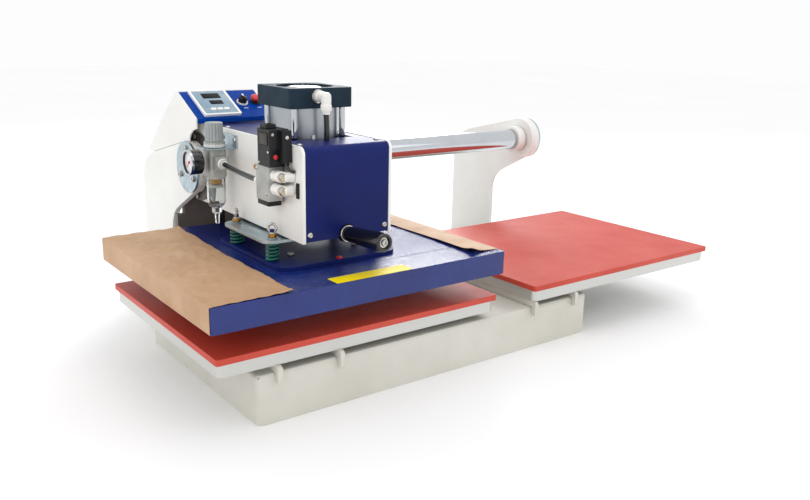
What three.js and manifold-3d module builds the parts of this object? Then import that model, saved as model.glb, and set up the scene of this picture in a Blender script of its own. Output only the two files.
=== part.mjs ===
// Pneumatic double-station heat press (foil and transfer stamping), modelled in millimetres, +Z up.
// Drawing datum: the front left bottom corner of the sheet-metal base, +X to the right, +Y to the back.
// The finished group is moved so that its origin is the middle of its footprint, on the floor.
import * as THREE from 'three';
import { mergeVertices } from 'three/addons/utils/BufferGeometryUtils.js';
import Module from 'manifold-3d';

const wasm = await Module();
wasm.setup();

// ---------------------------------------------------------------- driving dimensions

const GAP = 0.3; // clearance between pieces that touch
const STATION_PITCH = 583.6; // left station to right station
const PLATEN = { width: 500, depth: 400, left: -61, front: -5 };
const RIGHT_STATION_SHIFT = -6; // the right station sits a little forward of the left one

const BASE = { length: 672, depth: 394, height: 75, wall: 3, corner: 10, edge: 6, lip: 18, lipThickness: 3 };
const BEAM = { left: 76, right: 955, front: 462, back: 652, height: 34 };
const LINK_RAILS = [110, 500]; // left edges of the two rails that tie the base to the rear beam
const LINK = { width: 60, bottom: 6, top: 28 };
const RAIL = { left: 112, right: 878, front: 477, back: 489, top: 64 };

const CASTING = { bottom: 87, top: 105.7, inset: 3, corner: 12, skin: 6, rib: 6 };
const PAD = { bottom: 106, top: 115.5, corner: 4 };
const BAR = { width: 8, front: -10, back: 404, noseBottom: 60, noseRadius: 7 };
const BAR_CENTRES = { left: [31, 132.7], right: [531, 633] };
const STRAP = { width: 25, front: 60, back: 310 };

const SHAFT = { y: 415, z: 297, radius: 22, left: 88.3, right: 907.7 };
const SUPPORT = { thickness: 10, left: 88, right: 890, front: 506, back: 646, endRadius: 45 };
const BOSS = { left: [88, 102], right: [886, 908] };
const SHAFT_FLANGE = { radius: 45, thickness: 4, screwCircle: 32, screwRadius: 3.2 };

const HEAD = { left: 107.5, right: 263.5, plate: 5, front: 57.4, back: 476, bottom: 234, top: 375, corner: 12 };
const COVER_BACK = 436; // where the top of the head's sheet cover ends
const HEAD_CENTRE_X = (HEAD.left + HEAD.right) / 2;
const PRESS_Y = 184; // the press axis, through the cylinder and the middle of the springs
const HOUSING = { radius: 46, bore: 33 };
const BEARING = { flangeRadius: 60, flangeThickness: 4.4, sleeveRadius: 32.6, sleeveLength: 58, bore: 22.3 };
const ROLLER = { radius: 15, bottom: 46, top: 60, x: 140, axle: 5 };
const ARM = { left: 101, right: 262, front: 477, back: 489, top: 262, wingLeft: 87, wingTop: 200 };

const CYLINDER = {
  side: 110, corner: 8, lowerBottom: 336, lowerTop: 364, upperBottom: 420, upperTop: 450,
  barrelOuter: 52, barrelInner: 50,
};
const ROD = { radius: 12.7, pistonRadius: 49.6, pistonBottom: 404, pistonTop: 419.4, flangeRadius: 28 };
const PRESS_PLATE = { left: 74, right: 297, front: 107, back: 261, bottom: 226.5, top: 231.5, corner: 18 };
const STUDS = { dx: 92.5, dy: 60, radius: 4, top: 245.5 };
const SPRING = { outer: 11, inner: 6.5 };
const MOUNT_PLATE = { left: 80, right: 291, front: 72, back: 296, bottom: 192.6, top: 198, corner: 22 };
const HEATER = { bottom: 152.6, top: 172.6, corner: 6 };
const COVER = { left: -71, right: 442, front: -16, back: 409, bottom: 154.6, top: 192.3, wall: 2, corner: 5, seam: 50 };

const PANEL = { left: 88, right: 237, front: 376, frontZ: 384, top: 457, topZ: 424.5, sheet: 2.5 };

// ---------------------------------------------------------------- finishes

const FINISHES = {
  cream_paint: { color: 0xd9d7cf, roughness: 0.45, metalness: 0.0 },
  white_paint: { color: 0xeeeeea, roughness: 0.4, metalness: 0.0 },
  blue_hammertone: { color: 0x14307c, roughness: 0.32, metalness: 0.1 },
  cast_aluminium: { color: 0x9b9b94, roughness: 0.55, metalness: 0.9 },
  machined_aluminium: { color: 0xb9bcc0, roughness: 0.35, metalness: 1.0 },
  silicone: { color: 0xd8473a, roughness: 0.75, metalness: 0.0 },
  chrome: { color: 0xd7dade, roughness: 0.08, metalness: 1.0 },
  zinc_steel: { color: 0xa9b3b8, roughness: 0.35, metalness: 1.0 },
  steel: { color: 0x7d7c78, roughness: 0.4, metalness: 1.0 },
  slate_anodised: { color: 0x223644, roughness: 0.42, metalness: 0.6 },
  spring_green: { color: 0x0a6b5a, roughness: 0.4, metalness: 0.2 },
  black_plastic: { color: 0x141517, roughness: 0.5, metalness: 0.0 },
  grey_plastic: { color: 0xb9bcbc, roughness: 0.5, metalness: 0.0 },
  red_plastic: { color: 0xd01c2c, roughness: 0.35, metalness: 0.0 },
  clear_plastic: { color: 0xe4ecec, roughness: 0.05, metalness: 0.0 },
  white_plastic: { color: 0xf2f2f0, roughness: 0.4, metalness: 0.0 },
};

// ---------------------------------------------------------------- solids

/** A closed three.js geometry as a solid that can be joined and cut. */
function toSolid(geometry) {
  const bare = geometry.index ? geometry.toNonIndexed() : geometry.clone();
  Object.keys(bare.attributes).filter((name) => name !== 'position').forEach((name) => bare.deleteAttribute(name));
  const merged = mergeVertices(bare, 1e-3);
  return new wasm.Manifold(new wasm.Mesh({
    numProp: 3,
    vertProperties: new Float32Array(merged.attributes.position.array),
    triVerts: new Uint32Array(merged.index.array),
  }));
}

/** The solid's surface as a three.js geometry. */
function toGeometry(solid) {
  const mesh = solid.getMesh();
  const geometry = new THREE.BufferGeometry();
  geometry.setAttribute('position', new THREE.BufferAttribute(new Float32Array(mesh.vertProperties), 3));
  geometry.setIndex(new THREE.BufferAttribute(new Uint32Array(mesh.triVerts), 1));
  geometry.computeVertexNormals();
  return geometry;
}

const join = (...solids) => solids.reduce((whole, next) => whole.add(next));
const cut = (solid, ...tools) => tools.reduce((rest, tool) => rest.subtract(tool), solid);

/** A plain block between two corners. */
function block([x0, x1], [y0, y1], [z0, z1]) {
  const geometry = new THREE.BoxGeometry(x1 - x0, y1 - y0, z1 - z0);
  geometry.translate((x0 + x1) / 2, (y0 + y1) / 2, (z0 + z1) / 2);
  return toSolid(geometry);
}

/** A round bar, or a cone where the radii differ, from one point to another. */
function bar(from, to, radius, endRadius = radius, segments = 24) {
  const start = new THREE.Vector3(...from);
  const along = new THREE.Vector3(...to).sub(start);
  const geometry = new THREE.CylinderGeometry(endRadius, radius, along.length(), segments);
  const turn = new THREE.Quaternion().setFromUnitVectors(new THREE.Vector3(0, 1, 0), along.clone().normalize());
  geometry.applyQuaternion(turn);
  geometry.translate(...start.addScaledVector(along, 0.5).toArray());
  return toSolid(geometry);
}

/** A rectangle with round corners as a closed outline. */
function roundedRectangle([u0, u1], [v0, v1], radius) {
  const shape = new THREE.Shape();
  shape.moveTo(u0 + radius, v0);
  shape.lineTo(u1 - radius, v0);
  shape.absarc(u1 - radius, v0 + radius, radius, -Math.PI / 2, 0);
  shape.absarc(u1 - radius, v1 - radius, radius, 0, Math.PI / 2);
  shape.absarc(u0 + radius, v1 - radius, radius, Math.PI / 2, Math.PI);
  shape.absarc(u0 + radius, v0 + radius, radius, Math.PI, 1.5 * Math.PI);
  return shape;
}

/** An outline as plain points, without the near-duplicates that arcs and lines leave where they meet. */
function asPoints(shape, divisions) {
  const points = shape.getPoints(divisions);
  return new THREE.Shape(points.filter((point, i) => point.distanceTo(points[(i + 1) % points.length]) > 1e-3));
}

/** A flat plate with upright round corners. */
function plate(xs, ys, [z0, z1], radius, divisions = 5) {
  const outline = asPoints(roundedRectangle(xs, ys, radius), divisions);
  const geometry = new THREE.ExtrudeGeometry(outline, { depth: z1 - z0, bevelEnabled: false });
  geometry.translate(0, 0, z0);
  return toSolid(geometry);
}

/** A box with round upright corners and a rounded top edge. */
function softTopBox(xs, ys, [z0, z1], corner, edge) {
  const geometry = new THREE.ExtrudeGeometry(asPoints(roundedRectangle(xs, ys, corner), 4), {
    depth: z1 - z0, bevelEnabled: true, bevelThickness: edge, bevelSize: edge, bevelOffset: -edge, bevelSegments: 3,
  });
  geometry.translate(0, 0, z0 - edge);
  return toSolid(geometry).subtract(block([xs[0] - 1, xs[1] + 1], [ys[0] - 1, ys[1] + 1], [z0 - 3 * edge, z0]));
}

/** An outline drawn in the side view (y to the right, z up), given a thickness along x. */
function sidePlate(shape, [x0, x1], divisions = 8) {
  const geometry = new THREE.ExtrudeGeometry(asPoints(shape, divisions), { depth: x1 - x0, bevelEnabled: false });
  geometry.applyMatrix4(new THREE.Matrix4().makeBasis(
    new THREE.Vector3(0, 1, 0), new THREE.Vector3(0, 0, 1), new THREE.Vector3(1, 0, 0),
  ));
  geometry.translate(x0, 0, 0);
  return toSolid(geometry);
}

const polygon = (points) => new THREE.Shape(points.map(([u, v]) => new THREE.Vector2(u, v)));

/** A flexible tube or cable along a smooth curve through the points. */
function hose(points, radius, steps, sides) {
  const path = new THREE.CatmullRomCurve3(points.map((point) => new THREE.Vector3(...point)));
  const section = new THREE.Shape();
  section.absarc(0, 0, radius, 0, 2 * Math.PI);
  return toSolid(new THREE.ExtrudeGeometry(section, {
    steps, curveSegments: sides, extrudePath: path, bevelEnabled: false,
  }));
}

// ---------------------------------------------------------------- the assembly

const press = new THREE.Group();

/** Adds one named piece to a group. */
function piece(name, solid, finish, group = press) {
  const material = new THREE.MeshStandardMaterial({ name: finish, ...FINISHES[finish] });
  const mesh = new THREE.Mesh(toGeometry(solid), material);
  mesh.name = name;
  group.add(mesh);
  return mesh;
}

const FAR = 2000; // longer than the object, for cutting tools

/** Sheet-metal box without a bottom, with a narrow lip turned in along the floor. */
function openTray(outer, [x0, x1], [y0, y1], height) {
  const inner = block(
    [x0 + BASE.wall, x1 - BASE.wall], [y0 + BASE.wall, y1 - BASE.wall], [BASE.lipThickness, height - BASE.wall],
  );
  const mouth = block([x0 + BASE.lip, x1 - BASE.lip], [y0 + BASE.lip, y1 - BASE.lip], [-1, BASE.lipThickness + 1]);
  return cut(outer, inner, mouth);
}

/** Base: a folded sheet-metal box at the front, tied to a rear beam that carries the shaft supports. */
function buildBase() {
  const shell = softTopBox([0, BASE.length], [0, BASE.depth], [0, BASE.height], BASE.corner, BASE.edge);
  piece('base_shell', openTray(shell, [0, BASE.length], [0, BASE.depth], BASE.height), 'cream_paint');

  const beamX = [BEAM.left, BEAM.right];
  const beamY = [BEAM.front, BEAM.back];
  const beam = openTray(block(beamX, beamY, [0, BEAM.height]), beamX, beamY, BEAM.height);
  const links = LINK_RAILS.map((x) => block(
    [x, x + LINK.width], [BASE.depth + GAP, BEAM.front + BASE.wall], [LINK.bottom, LINK.top],
  ));
  piece('rear_frame', join(beam, ...links), 'cream_paint');

  const foot = block([RAIL.left, RAIL.right], [RAIL.front - 6, RAIL.back + 6], [BEAM.height + GAP, BEAM.height + 6]);
  const web = block([RAIL.left, RAIL.right], [RAIL.front, RAIL.back], [BEAM.height + 5, RAIL.top]);
  piece('guide_rail', join(foot, web), 'steel');
}

/** Hooked bars across the base, and the two straps that tie a pair of bars together. */
function carrier(centres, [strapLeft, strapRight]) {
  const low = BASE.height + GAP;
  const high = CASTING.bottom - GAP;
  const r = BAR.noseRadius;
  const tip = (-GAP - BAR.front) / 2;
  const hook = new THREE.Shape();
  hook.moveTo(BAR.front + r, high);
  hook.absarc(BAR.front + r, high - r, r, Math.PI / 2, Math.PI);
  hook.absarc((BAR.front - GAP) / 2, BAR.noseBottom + tip, tip, Math.PI, 2 * Math.PI);
  hook.lineTo(-GAP, low);
  hook.lineTo(BASE.depth + GAP, low);
  hook.lineTo(BASE.depth + GAP, BAR.noseBottom);
  hook.lineTo(BAR.back, BAR.noseBottom);
  hook.lineTo(BAR.back, high - r);
  hook.absarc(BAR.back - r, high - r, r, 0, Math.PI / 2);
  const bars = centres.map((x) => sidePlate(hook, [x - BAR.width / 2, x + BAR.width / 2], 5));
  const straps = [STRAP.front, STRAP.back].map((y) => block(
    [strapLeft, strapRight], [y, y + STRAP.width], [low, high],
  ));
  return join(...bars, ...straps);
}

/** Lower platen: a cast plate with a rim and ribs underneath. */
function lowerPlaten([x0, x1], [y0, y1]) {
  const body = plate([x0, x1], [y0, y1], [CASTING.bottom, CASTING.top], CASTING.corner);
  const columns = 3;
  const rows = 2;
  const pocketWidth = (x1 - x0 - (columns + 1) * CASTING.rib) / columns;
  const pocketDepth = (y1 - y0 - (rows + 1) * CASTING.rib) / rows;
  const pockets = [];
  for (let column = 0; column < columns; column += 1) {
    for (let row = 0; row < rows; row += 1) {
      const left = x0 + CASTING.rib + column * (pocketWidth + CASTING.rib);
      const front = y0 + CASTING.rib + row * (pocketDepth + CASTING.rib);
      pockets.push(plate(
        [left, left + pocketWidth], [front, front + pocketDepth],
        [CASTING.bottom - 1, CASTING.top - CASTING.skin], CASTING.corner - CASTING.rib, 2,
      ));
    }
  }
  return cut(body, ...pockets);
}

/** The two work stations: carrier, cast platen and silicone pad each. */
function buildStations() {
  const stations = [
    { side: 'left', x: PLATEN.left, y: PLATEN.front, straps: [12, 420] },
    {
      side: 'right', x: PLATEN.left + STATION_PITCH, y: PLATEN.front + RIGHT_STATION_SHIFT, straps: [535, 960],
    },
  ];
  stations.forEach(({ side, x, y, straps }) => {
    const padX = [x, x + PLATEN.width];
    const padY = [y, y + PLATEN.depth];
    const castX = [padX[0] + CASTING.inset, padX[1] - CASTING.inset];
    const castY = [padY[0] + CASTING.inset, padY[1] - CASTING.inset];
    piece(`carrier_${side}`, carrier(BAR_CENTRES[side], straps), 'cream_paint');
    piece(`lower_platen_${side}`, lowerPlaten(castX, castY), 'cast_aluminium');
    piece(`silicone_pad_${side}`, plate(padX, padY, [PAD.bottom, PAD.top], PAD.corner, 3), 'silicone');
  });
}

/** Side outline of a shaft support: a post whose arm reaches forward to a round end about the shaft. */
function supportOutline() {
  const { y, z } = SHAFT;
  const r = SUPPORT.endRadius;
  const under = Math.atan2(0.887, 0.462) + Math.PI; // where the sloping underside leaves the round end
  const over = Math.atan2(0.971, 0.24); // where the sloping top edge leaves it
  const foot = BEAM.height + GAP;
  const shape = new THREE.Shape();
  shape.moveTo(SUPPORT.back, foot);
  shape.lineTo(SUPPORT.back, 228);
  shape.quadraticCurveTo(SUPPORT.back, 286, 590, 300);
  shape.lineTo(y + r * Math.cos(over), z + r * Math.sin(over));
  shape.absarc(y, z, r, over, under, false);
  shape.lineTo(474, 215.5);
  shape.quadraticCurveTo(SUPPORT.front, 199, SUPPORT.front, 163);
  shape.lineTo(SUPPORT.front, foot);
  return shape;
}

/** Supports at both ends of the shaft, the shaft, and the screwed flanges that close its ends. */
function buildShaft() {
  const centre = (x) => [x, SHAFT.y, SHAFT.z];
  const bore = bar(centre(0), centre(FAR), SHAFT.radius + GAP, undefined, 32);
  const footZ = [BEAM.height + GAP, BEAM.height + GAP + SUPPORT.thickness];
  const feet = {
    left: [SUPPORT.left + 1, SUPPORT.left + 60],
    right: [SUPPORT.right + 1, SUPPORT.right + 60],
  };
  ['left', 'right'].forEach((side) => {
    const x = SUPPORT[side];
    const post = sidePlate(supportOutline(), [x, x + SUPPORT.thickness]);
    const boss = bar(centre(BOSS[side][0]), centre(BOSS[side][1]), SUPPORT.endRadius, undefined, 32);
    const foot = block(feet[side], [530, SUPPORT.back], footZ);
    piece(`support_${side}`, cut(join(post, boss, foot), bore), 'white_paint');
  });
  piece('main_shaft', bar(centre(SHAFT.left), centre(SHAFT.right), SHAFT.radius, undefined, 36), 'chrome');

  const flanges = {
    left: [BOSS.left[0] - GAP - SHAFT_FLANGE.thickness, BOSS.left[0] - GAP],
    right: [BOSS.right[1] + GAP, BOSS.right[1] + GAP + SHAFT_FLANGE.thickness],
  };
  Object.entries(flanges).forEach(([side, [x0, x1]]) => {
    const screwHoles = [0, 1, 2].map((index) => {
      const angle = Math.PI / 2 + index * (2 * Math.PI / 3);
      const y = SHAFT.y + SHAFT_FLANGE.screwCircle * Math.cos(angle);
      const z = SHAFT.z + SHAFT_FLANGE.screwCircle * Math.sin(angle);
      return bar([x0 - 1, y, z], [x1 + 1, y, z], SHAFT_FLANGE.screwRadius, undefined, 10);
    });
    const disc = bar(centre(x0), centre(x1), SHAFT_FLANGE.radius, undefined, 32);
    piece(`shaft_flange_${side}`, cut(disc, ...screwHoles), 'zinc_steel');
  });
}

/** Control box on the left support: folded case, sloping panel, controller, keys, knob and stop button. */
function buildControls() {
  const t = PANEL.sheet;
  const under = (y) => 341.5 - 0.248 * (y - 425.8); // just above the sloping top edge of the support
  const profile = [
    [PANEL.front, PANEL.frontZ - 4], [PANEL.front, PANEL.frontZ], [PANEL.top, PANEL.topZ], [547, 356], [606, 306],
    [606, 302.5], [583, under(583)], [500, under(500)], [500, PANEL.frontZ - 4],
  ];
  const hollow = [
    [PANEL.front - 4, PANEL.frontZ - 4 + t], [PANEL.front - 4, 430], [PANEL.top - t, 430], [PANEL.top - t, 419],
    [545, 353.5], [600, 307.2], [600, 305.5], [584, under(584) + t], [500 + t, under(500) + t],
    [500 + t, PANEL.frontZ - 4 + t],
  ];
  const apron = [
    [PANEL.front, PANEL.frontZ - 2], [PANEL.front, 367.5], [390, 363.5], [402, 356], [408, 348], [410, 320],
    [SHAFT.y + 11, 320], [SHAFT.y + 11, under(SHAFT.y + 11)],
    [504, under(504)], [504, PANEL.frontZ - 2],
  ];
  const aboutBoss = bar([0, SHAFT.y, SHAFT.z], [FAR, SHAFT.y, SHAFT.z], SUPPORT.endRadius + GAP, undefined, 48);
  const outlet = (distance) => [165, 576 + 0.647 * distance, 331.4 + 0.763 * distance];
  const shell = cut(
    join(
      sidePlate(polygon(profile), [PANEL.left, PANEL.right]),
      cut(sidePlate(polygon(apron), [PANEL.left, PANEL.left + t]), aboutBoss),
    ),
    sidePlate(polygon(hollow), [PANEL.left + t, PANEL.right - t]),
    bar(outlet(-12), outlet(12), 8, undefined, 12),
  );
  piece('control_box', shell, 'white_paint');
  piece('mains_gland', join(
    bar(outlet(-10), outlet(2), 7.6, undefined, 10),
    bar(outlet(GAP), outlet(12), 11, undefined, 10),
    bar(outlet(11.9), outlet(18), 9.5, 6, 12),
  ), 'black_plastic');

  // The panel's own frame: x along the panel, y up the slope, z out of its face.
  const slope = new THREE.Group();
  slope.position.set(PANEL.left, PANEL.front, PANEL.frontZ);
  slope.rotation.x = Math.atan2(PANEL.topZ - PANEL.frontZ, PANEL.top - PANEL.front);
  press.add(slope);
  const length = Math.hypot(PANEL.topZ - PANEL.frontZ, PANEL.top - PANEL.front);
  const width = PANEL.right - PANEL.left;
  const bezel = { x: [17, 86], y: [3.5, 83], top: 5 };
  const window = { x: [19.5, 83.5], y: [6, 80.5] };
  const knob = { x: 105, y: 44.5 };
  const stop = { x: 131.3, y: 46 };
  const keys = { xs: [39.5, 51.5, 63.5], y: 19.5, width: 9.4, height: 6.4, top: 6.4 };

  const fold = [[-1.7, 0], [-5, -6.6], [-3.9, -7.1], [GAP - 0.6, 0.1 - GAP], [2, -1.2], [2, 0]];
  const sheet = cut(
    join(
      block([t + GAP, width - t - GAP], [GAP, length - t - 2], [-1.5, 0]),
      sidePlate(polygon(fold), [t + GAP, width - t - GAP]),
    ),
    block([window.x[0] - GAP, window.x[1] + GAP], [window.y[0] - GAP, window.y[1] + GAP], [-5, 5]),
    bar([knob.x, knob.y, -5], [knob.x, knob.y, 5], 3.6, undefined, 10),
    bar([stop.x, stop.y, -5], [stop.x, stop.y, 5], 5, undefined, 10),
  );
  piece('control_panel', sheet, 'blue_hammertone', slope);

  const keyPocket = (x) => block([x - 5, x + 5], [keys.y - 3.5, keys.y + 3.5], [2.6, 9]);
  const controller = cut(
    join(plate(bezel.x, bezel.y, [GAP, bezel.top], 3, 3), block(window.x, window.y, [-4, 1])),
    plate([21, 82], [7.5, 79], [bezel.top - 0.8, 9], 2, 2),
    ...keys.xs.map(keyPocket),
  );
  piece('controller', controller, 'grey_plastic', slope);
  keys.xs.forEach((x, index) => {
    const key = block(
      [x - keys.width / 2, x + keys.width / 2], [keys.y - keys.height / 2, keys.y + keys.height / 2],
      [keys.top - 3, keys.top],
    );
    piece(`controller_key_${index + 1}`, key, 'white_plastic', slope);
  });
  piece('selector_knob', join(
    bar([knob.x, knob.y, -6], [knob.x, knob.y, 2], 3, undefined, 10),
    bar([knob.x, knob.y, 0.6], [knob.x, knob.y, 3], 9.5, undefined, 16),
    bar([knob.x, knob.y, 2.5], [knob.x, knob.y, 10], 7.6, undefined, 16),
    block([knob.x - 2.2, knob.x + 2.2], [knob.y - 7, knob.y + 7], [9, 14]),
  ), 'black_plastic', slope);
  piece('stop_button', join(
    bar([stop.x, stop.y, -8], [stop.x, stop.y, 8], 4.4, undefined, 10),
    bar([stop.x, stop.y, 7], [stop.x, stop.y, 10], 9.6, undefined, 16),
    bar([stop.x, stop.y, 9.9], [stop.x, stop.y, 12.5], 9.6, 6, 24),
  ), 'red_plastic', slope);
}

/** Side outline of the head's cheek plates: square at the front, round about the shaft at the back. */
function cheekOutline() {
  const shape = new THREE.Shape();
  const r = HEAD.corner;
  const around = HEAD.back - SHAFT.y;
  shape.moveTo(HEAD.front, HEAD.bottom);
  shape.lineTo(SHAFT.y, SHAFT.z - around);
  shape.absarc(SHAFT.y, SHAFT.z, around, -Math.PI / 2, 0);
  shape.lineTo(HEAD.back, HEAD.top - 38);
  shape.absarc(HEAD.back - 38, HEAD.top - 38, 38, 0, Math.PI / 2);
  shape.lineTo(HEAD.front + r, HEAD.top);
  shape.absarc(HEAD.front + r, HEAD.top - r, r, Math.PI / 2, Math.PI);
  return shape;
}

/** The sliding head: cheek plates, shaft housing with flanged bearings, guide arm, cylinder bracket and cover. */
function buildHead() {
  const axis = (x) => [x, SHAFT.y, SHAFT.z];
  const inner = [HEAD.left + HEAD.plate, HEAD.right - HEAD.plate];
  const seat = bar(axis(0), axis(FAR), BEARING.sleeveRadius + GAP, undefined, 24);
  const cheeks = { left: [HEAD.left, inner[0]], right: [inner[1], HEAD.right] };
  Object.entries(cheeks).forEach(([side, xs]) => {
    piece(`head_plate_${side}`, cut(sidePlate(cheekOutline(), xs), seat), 'white_paint');
  });

  const housing = bar(axis(inner[0] + GAP), axis(inner[1] - GAP), HOUSING.radius, undefined, 24);
  piece('bearing_housing', cut(housing, bar(axis(0), axis(FAR), HOUSING.bore, undefined, 24)), 'steel');

  const bore = bar(axis(0), axis(FAR), BEARING.bore, undefined, 36);
  const bearings = {
    left: [HEAD.left - GAP - BEARING.flangeThickness, HEAD.left - GAP, HEAD.left + BEARING.sleeveLength],
    right: [HEAD.right + GAP + BEARING.flangeThickness, HEAD.right + GAP, HEAD.right - BEARING.sleeveLength],
  };
  Object.entries(bearings).forEach(([side, [outside, inside, sleeveEnd]]) => {
    const flange = bar(axis(outside), axis(inside), BEARING.flangeRadius, undefined, 32);
    const sleeve = bar(axis(inside), axis(sleeveEnd), BEARING.sleeveRadius, undefined, 24);
    piece(`flanged_bearing_${side}`, cut(join(flange, sleeve), bore), 'steel');
  });

  // Guide arm: a saddle behind the housing, a leg down to the rear rail, and two axles for its rollers.
  const rollerCentres = {
    front: RAIL.front - ROLLER.radius - GAP,
    rear: RAIL.back + ROLLER.radius + GAP,
  };
  const bridgeX = [ROLLER.x - 26, ROLLER.x + 30];
  const saddle = cut(
    block([120, 250], [442, ARM.back], [250, 330]),
    bar(axis(0), axis(FAR), HOUSING.radius + GAP, undefined, 24),
  );
  const leg = block([ARM.left, ARM.right], [ARM.front, ARM.back], [RAIL.top + 4, ARM.top]);
  const wing = block([ARM.wingLeft, ARM.left + 1], [ARM.front, ARM.back], [RAIL.top + 4, ARM.wingTop]);
  const bridge = block(bridgeX, [440, 524], [RAIL.top + 3, RAIL.top + 15]);
  const axles = Object.values(rollerCentres).map((y) => bar(
    [ROLLER.x, y, ROLLER.bottom - 3], [ROLLER.x, y, RAIL.top + 4], ROLLER.axle, undefined, 20,
  ));
  piece('guide_arm', join(saddle, leg, wing, bridge, ...axles), 'steel');
  Object.entries(rollerCentres).forEach(([where, y]) => {
    const wheel = bar([ROLLER.x, y, ROLLER.bottom], [ROLLER.x, y, ROLLER.top], ROLLER.radius, undefined, 20);
    const hole = bar([ROLLER.x, y, 0], [ROLLER.x, y, FAR], ROLLER.axle + GAP, undefined, 12);
    piece(`guide_roller_${where}`, cut(wheel, hole), 'steel');
  });

  // Cylinder bracket: a thick shelf between the cheeks with a leg down behind the front cover.
  const shelf = block([inner[0] + GAP, inner[1] - GAP], [66, 300], [320, CYLINDER.lowerBottom - GAP]);
  const frontLeg = block([inner[0] + GAP, inner[1] - GAP], [66, 76], [HEAD.bottom + 2, 322]);
  const rodHole = bar([HEAD_CENTRE_X, PRESS_Y, 0], [HEAD_CENTRE_X, PRESS_Y, FAR], ROD.radius + 0.6, undefined, 20);
  piece('cylinder_bracket', cut(join(shelf, frontLeg), rodHole), 'steel');

  // Front cover: one bent sheet, up the front and back over the top, with an opening for the cylinder.
  const outerY = HEAD.front + 0.4;
  const outerZ = HEAD.top - 1;
  const t = 2;
  const bend = 9;
  const sheet = new THREE.Shape();
  sheet.moveTo(outerY, HEAD.bottom + 2);
  sheet.lineTo(outerY + t, HEAD.bottom + 2);
  sheet.lineTo(outerY + t, outerZ - bend);
  sheet.absarc(outerY + bend, outerZ - bend, bend - t, Math.PI, Math.PI / 2, true);
  sheet.lineTo(COVER_BACK, outerZ - t);
  sheet.lineTo(COVER_BACK, outerZ);
  sheet.lineTo(outerY + bend, outerZ);
  sheet.absarc(outerY + bend, outerZ - bend, bend, Math.PI / 2, Math.PI, false);
  const half = CYLINDER.side / 2 - 1;
  const opening = block(
    [HEAD_CENTRE_X - half, HEAD_CENTRE_X + half], [PRESS_Y - half, PRESS_Y + half], [outerZ - 5, outerZ + 5],
  );
  const arch = join(
    bar([HANDLE.x, outerY - 5, HANDLE.z], [HANDLE.x, outerY + 6, HANDLE.z], 14.6, undefined, 20),
    block([HANDLE.x - 14.6, HANDLE.x + 14.6], [outerY - 5, outerY + 6], [HEAD.bottom - 5, HANDLE.z]),
  );
  const cover = sidePlate(sheet, [inner[0] + 2 * GAP, inner[1] - 2 * GAP], 6);
  piece('front_cover', cut(cover, opening, arch), 'blue_hammertone');
}

/** Tie-rod air cylinder: square end caps, round barrel, and the piston with its rod. */
function buildCylinder() {
  const half = CYLINDER.side / 2;
  const xs = [HEAD_CENTRE_X - half, HEAD_CENTRE_X + half];
  const ys = [PRESS_Y - half, PRESS_Y + half];
  const up = (z) => [HEAD_CENTRE_X, PRESS_Y, z];
  const rodHole = bar(up(0), up(CYLINDER.lowerTop + 1), ROD.radius + GAP, undefined, 20);
  const lower = plate(xs, ys, [CYLINDER.lowerBottom, CYLINDER.lowerTop], CYLINDER.corner);
  piece('cylinder_end_lower', cut(lower, rodHole), 'slate_anodised');

  const barrelZ = [CYLINDER.lowerTop + GAP, CYLINDER.upperBottom - GAP];
  piece('cylinder_barrel', cut(
    bar(up(barrelZ[0]), up(barrelZ[1]), CYLINDER.barrelOuter, undefined, 36),
    bar(up(0), up(FAR), CYLINDER.barrelInner, undefined, 36),
  ), 'machined_aluminium');

  const upper = plate(xs, ys, [CYLINDER.upperBottom, CYLINDER.upperTop], CYLINDER.corner);
  const dish = bar(up(CYLINDER.upperTop - 4), up(CYLINDER.upperTop + 1), 44, undefined, 32);
  piece('cylinder_end_upper', cut(upper, dish), 'slate_anodised');

  piece('piston_rod', join(
    bar(up(ROD.pistonBottom), up(ROD.pistonTop), ROD.pistonRadius, undefined, 36),
    bar(up(PRESS_PLATE.top + 5), up(ROD.pistonBottom + 1), ROD.radius, undefined, 20),
    bar(up(PRESS_PLATE.top + GAP), up(PRESS_PLATE.top + 8), ROD.flangeRadius, undefined, 20),
  ), 'chrome');

  // Elbow fitting on the front of the upper cap, and the air line down through the top of the cover.
  const elbow = { x: 177, z: 438, y: 106 };
  piece('air_line_cylinder', join(
    bar([elbow.x, ys[0] - GAP, elbow.z], [elbow.x, elbow.y, elbow.z], 8, undefined, 12),
    bar([elbow.x, elbow.y, elbow.z + 7], [elbow.x, elbow.y, 416], 7.4, undefined, 12),
    bar([elbow.x, elbow.y, 418], [elbow.x, elbow.y, HEAD.top - 1 + GAP], 3.5, undefined, 10),
  ), 'white_plastic');
}

// Handle frame: at the foot of the front cover, tilted up a little, y along the handle towards the back.
const HANDLE = { x: 183.5, y: 57, z: 241, tilt: THREE.MathUtils.degToRad(-4), length: 93 };

/** Side handle at the front: a bolt with a boss, and the tapered grip that turns on it. */
function buildHandle() {
  const frame = new THREE.Group();
  frame.position.set(HANDLE.x, HANDLE.y, HANDLE.z);
  frame.rotation.x = HANDLE.tilt;
  press.add(frame);
  const end = -4 - HANDLE.length;
  const along = (y) => [0, y, 0];
  piece('handle_bolt', join(
    bar(along(8), along(-3.2), 13.4, undefined, 20),
    bar(along(-2), along(end + 4), 5, undefined, 10),
    bar(along(end + 4.7), along(end + 3), 7.6, undefined, 16),
    bar(along(end + 5), along(end), 4.6, undefined, 6),
  ), 'zinc_steel', frame);
  piece('handle_grip', cut(
    bar(along(-4), along(end), 11.4, 14, 32),
    bar(along(0), along(end - 1), 5.3, undefined, 12),
    bar(along(end + 5), along(end - 1), 8.4, undefined, 16),
  ), 'black_plastic', frame);
}

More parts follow.
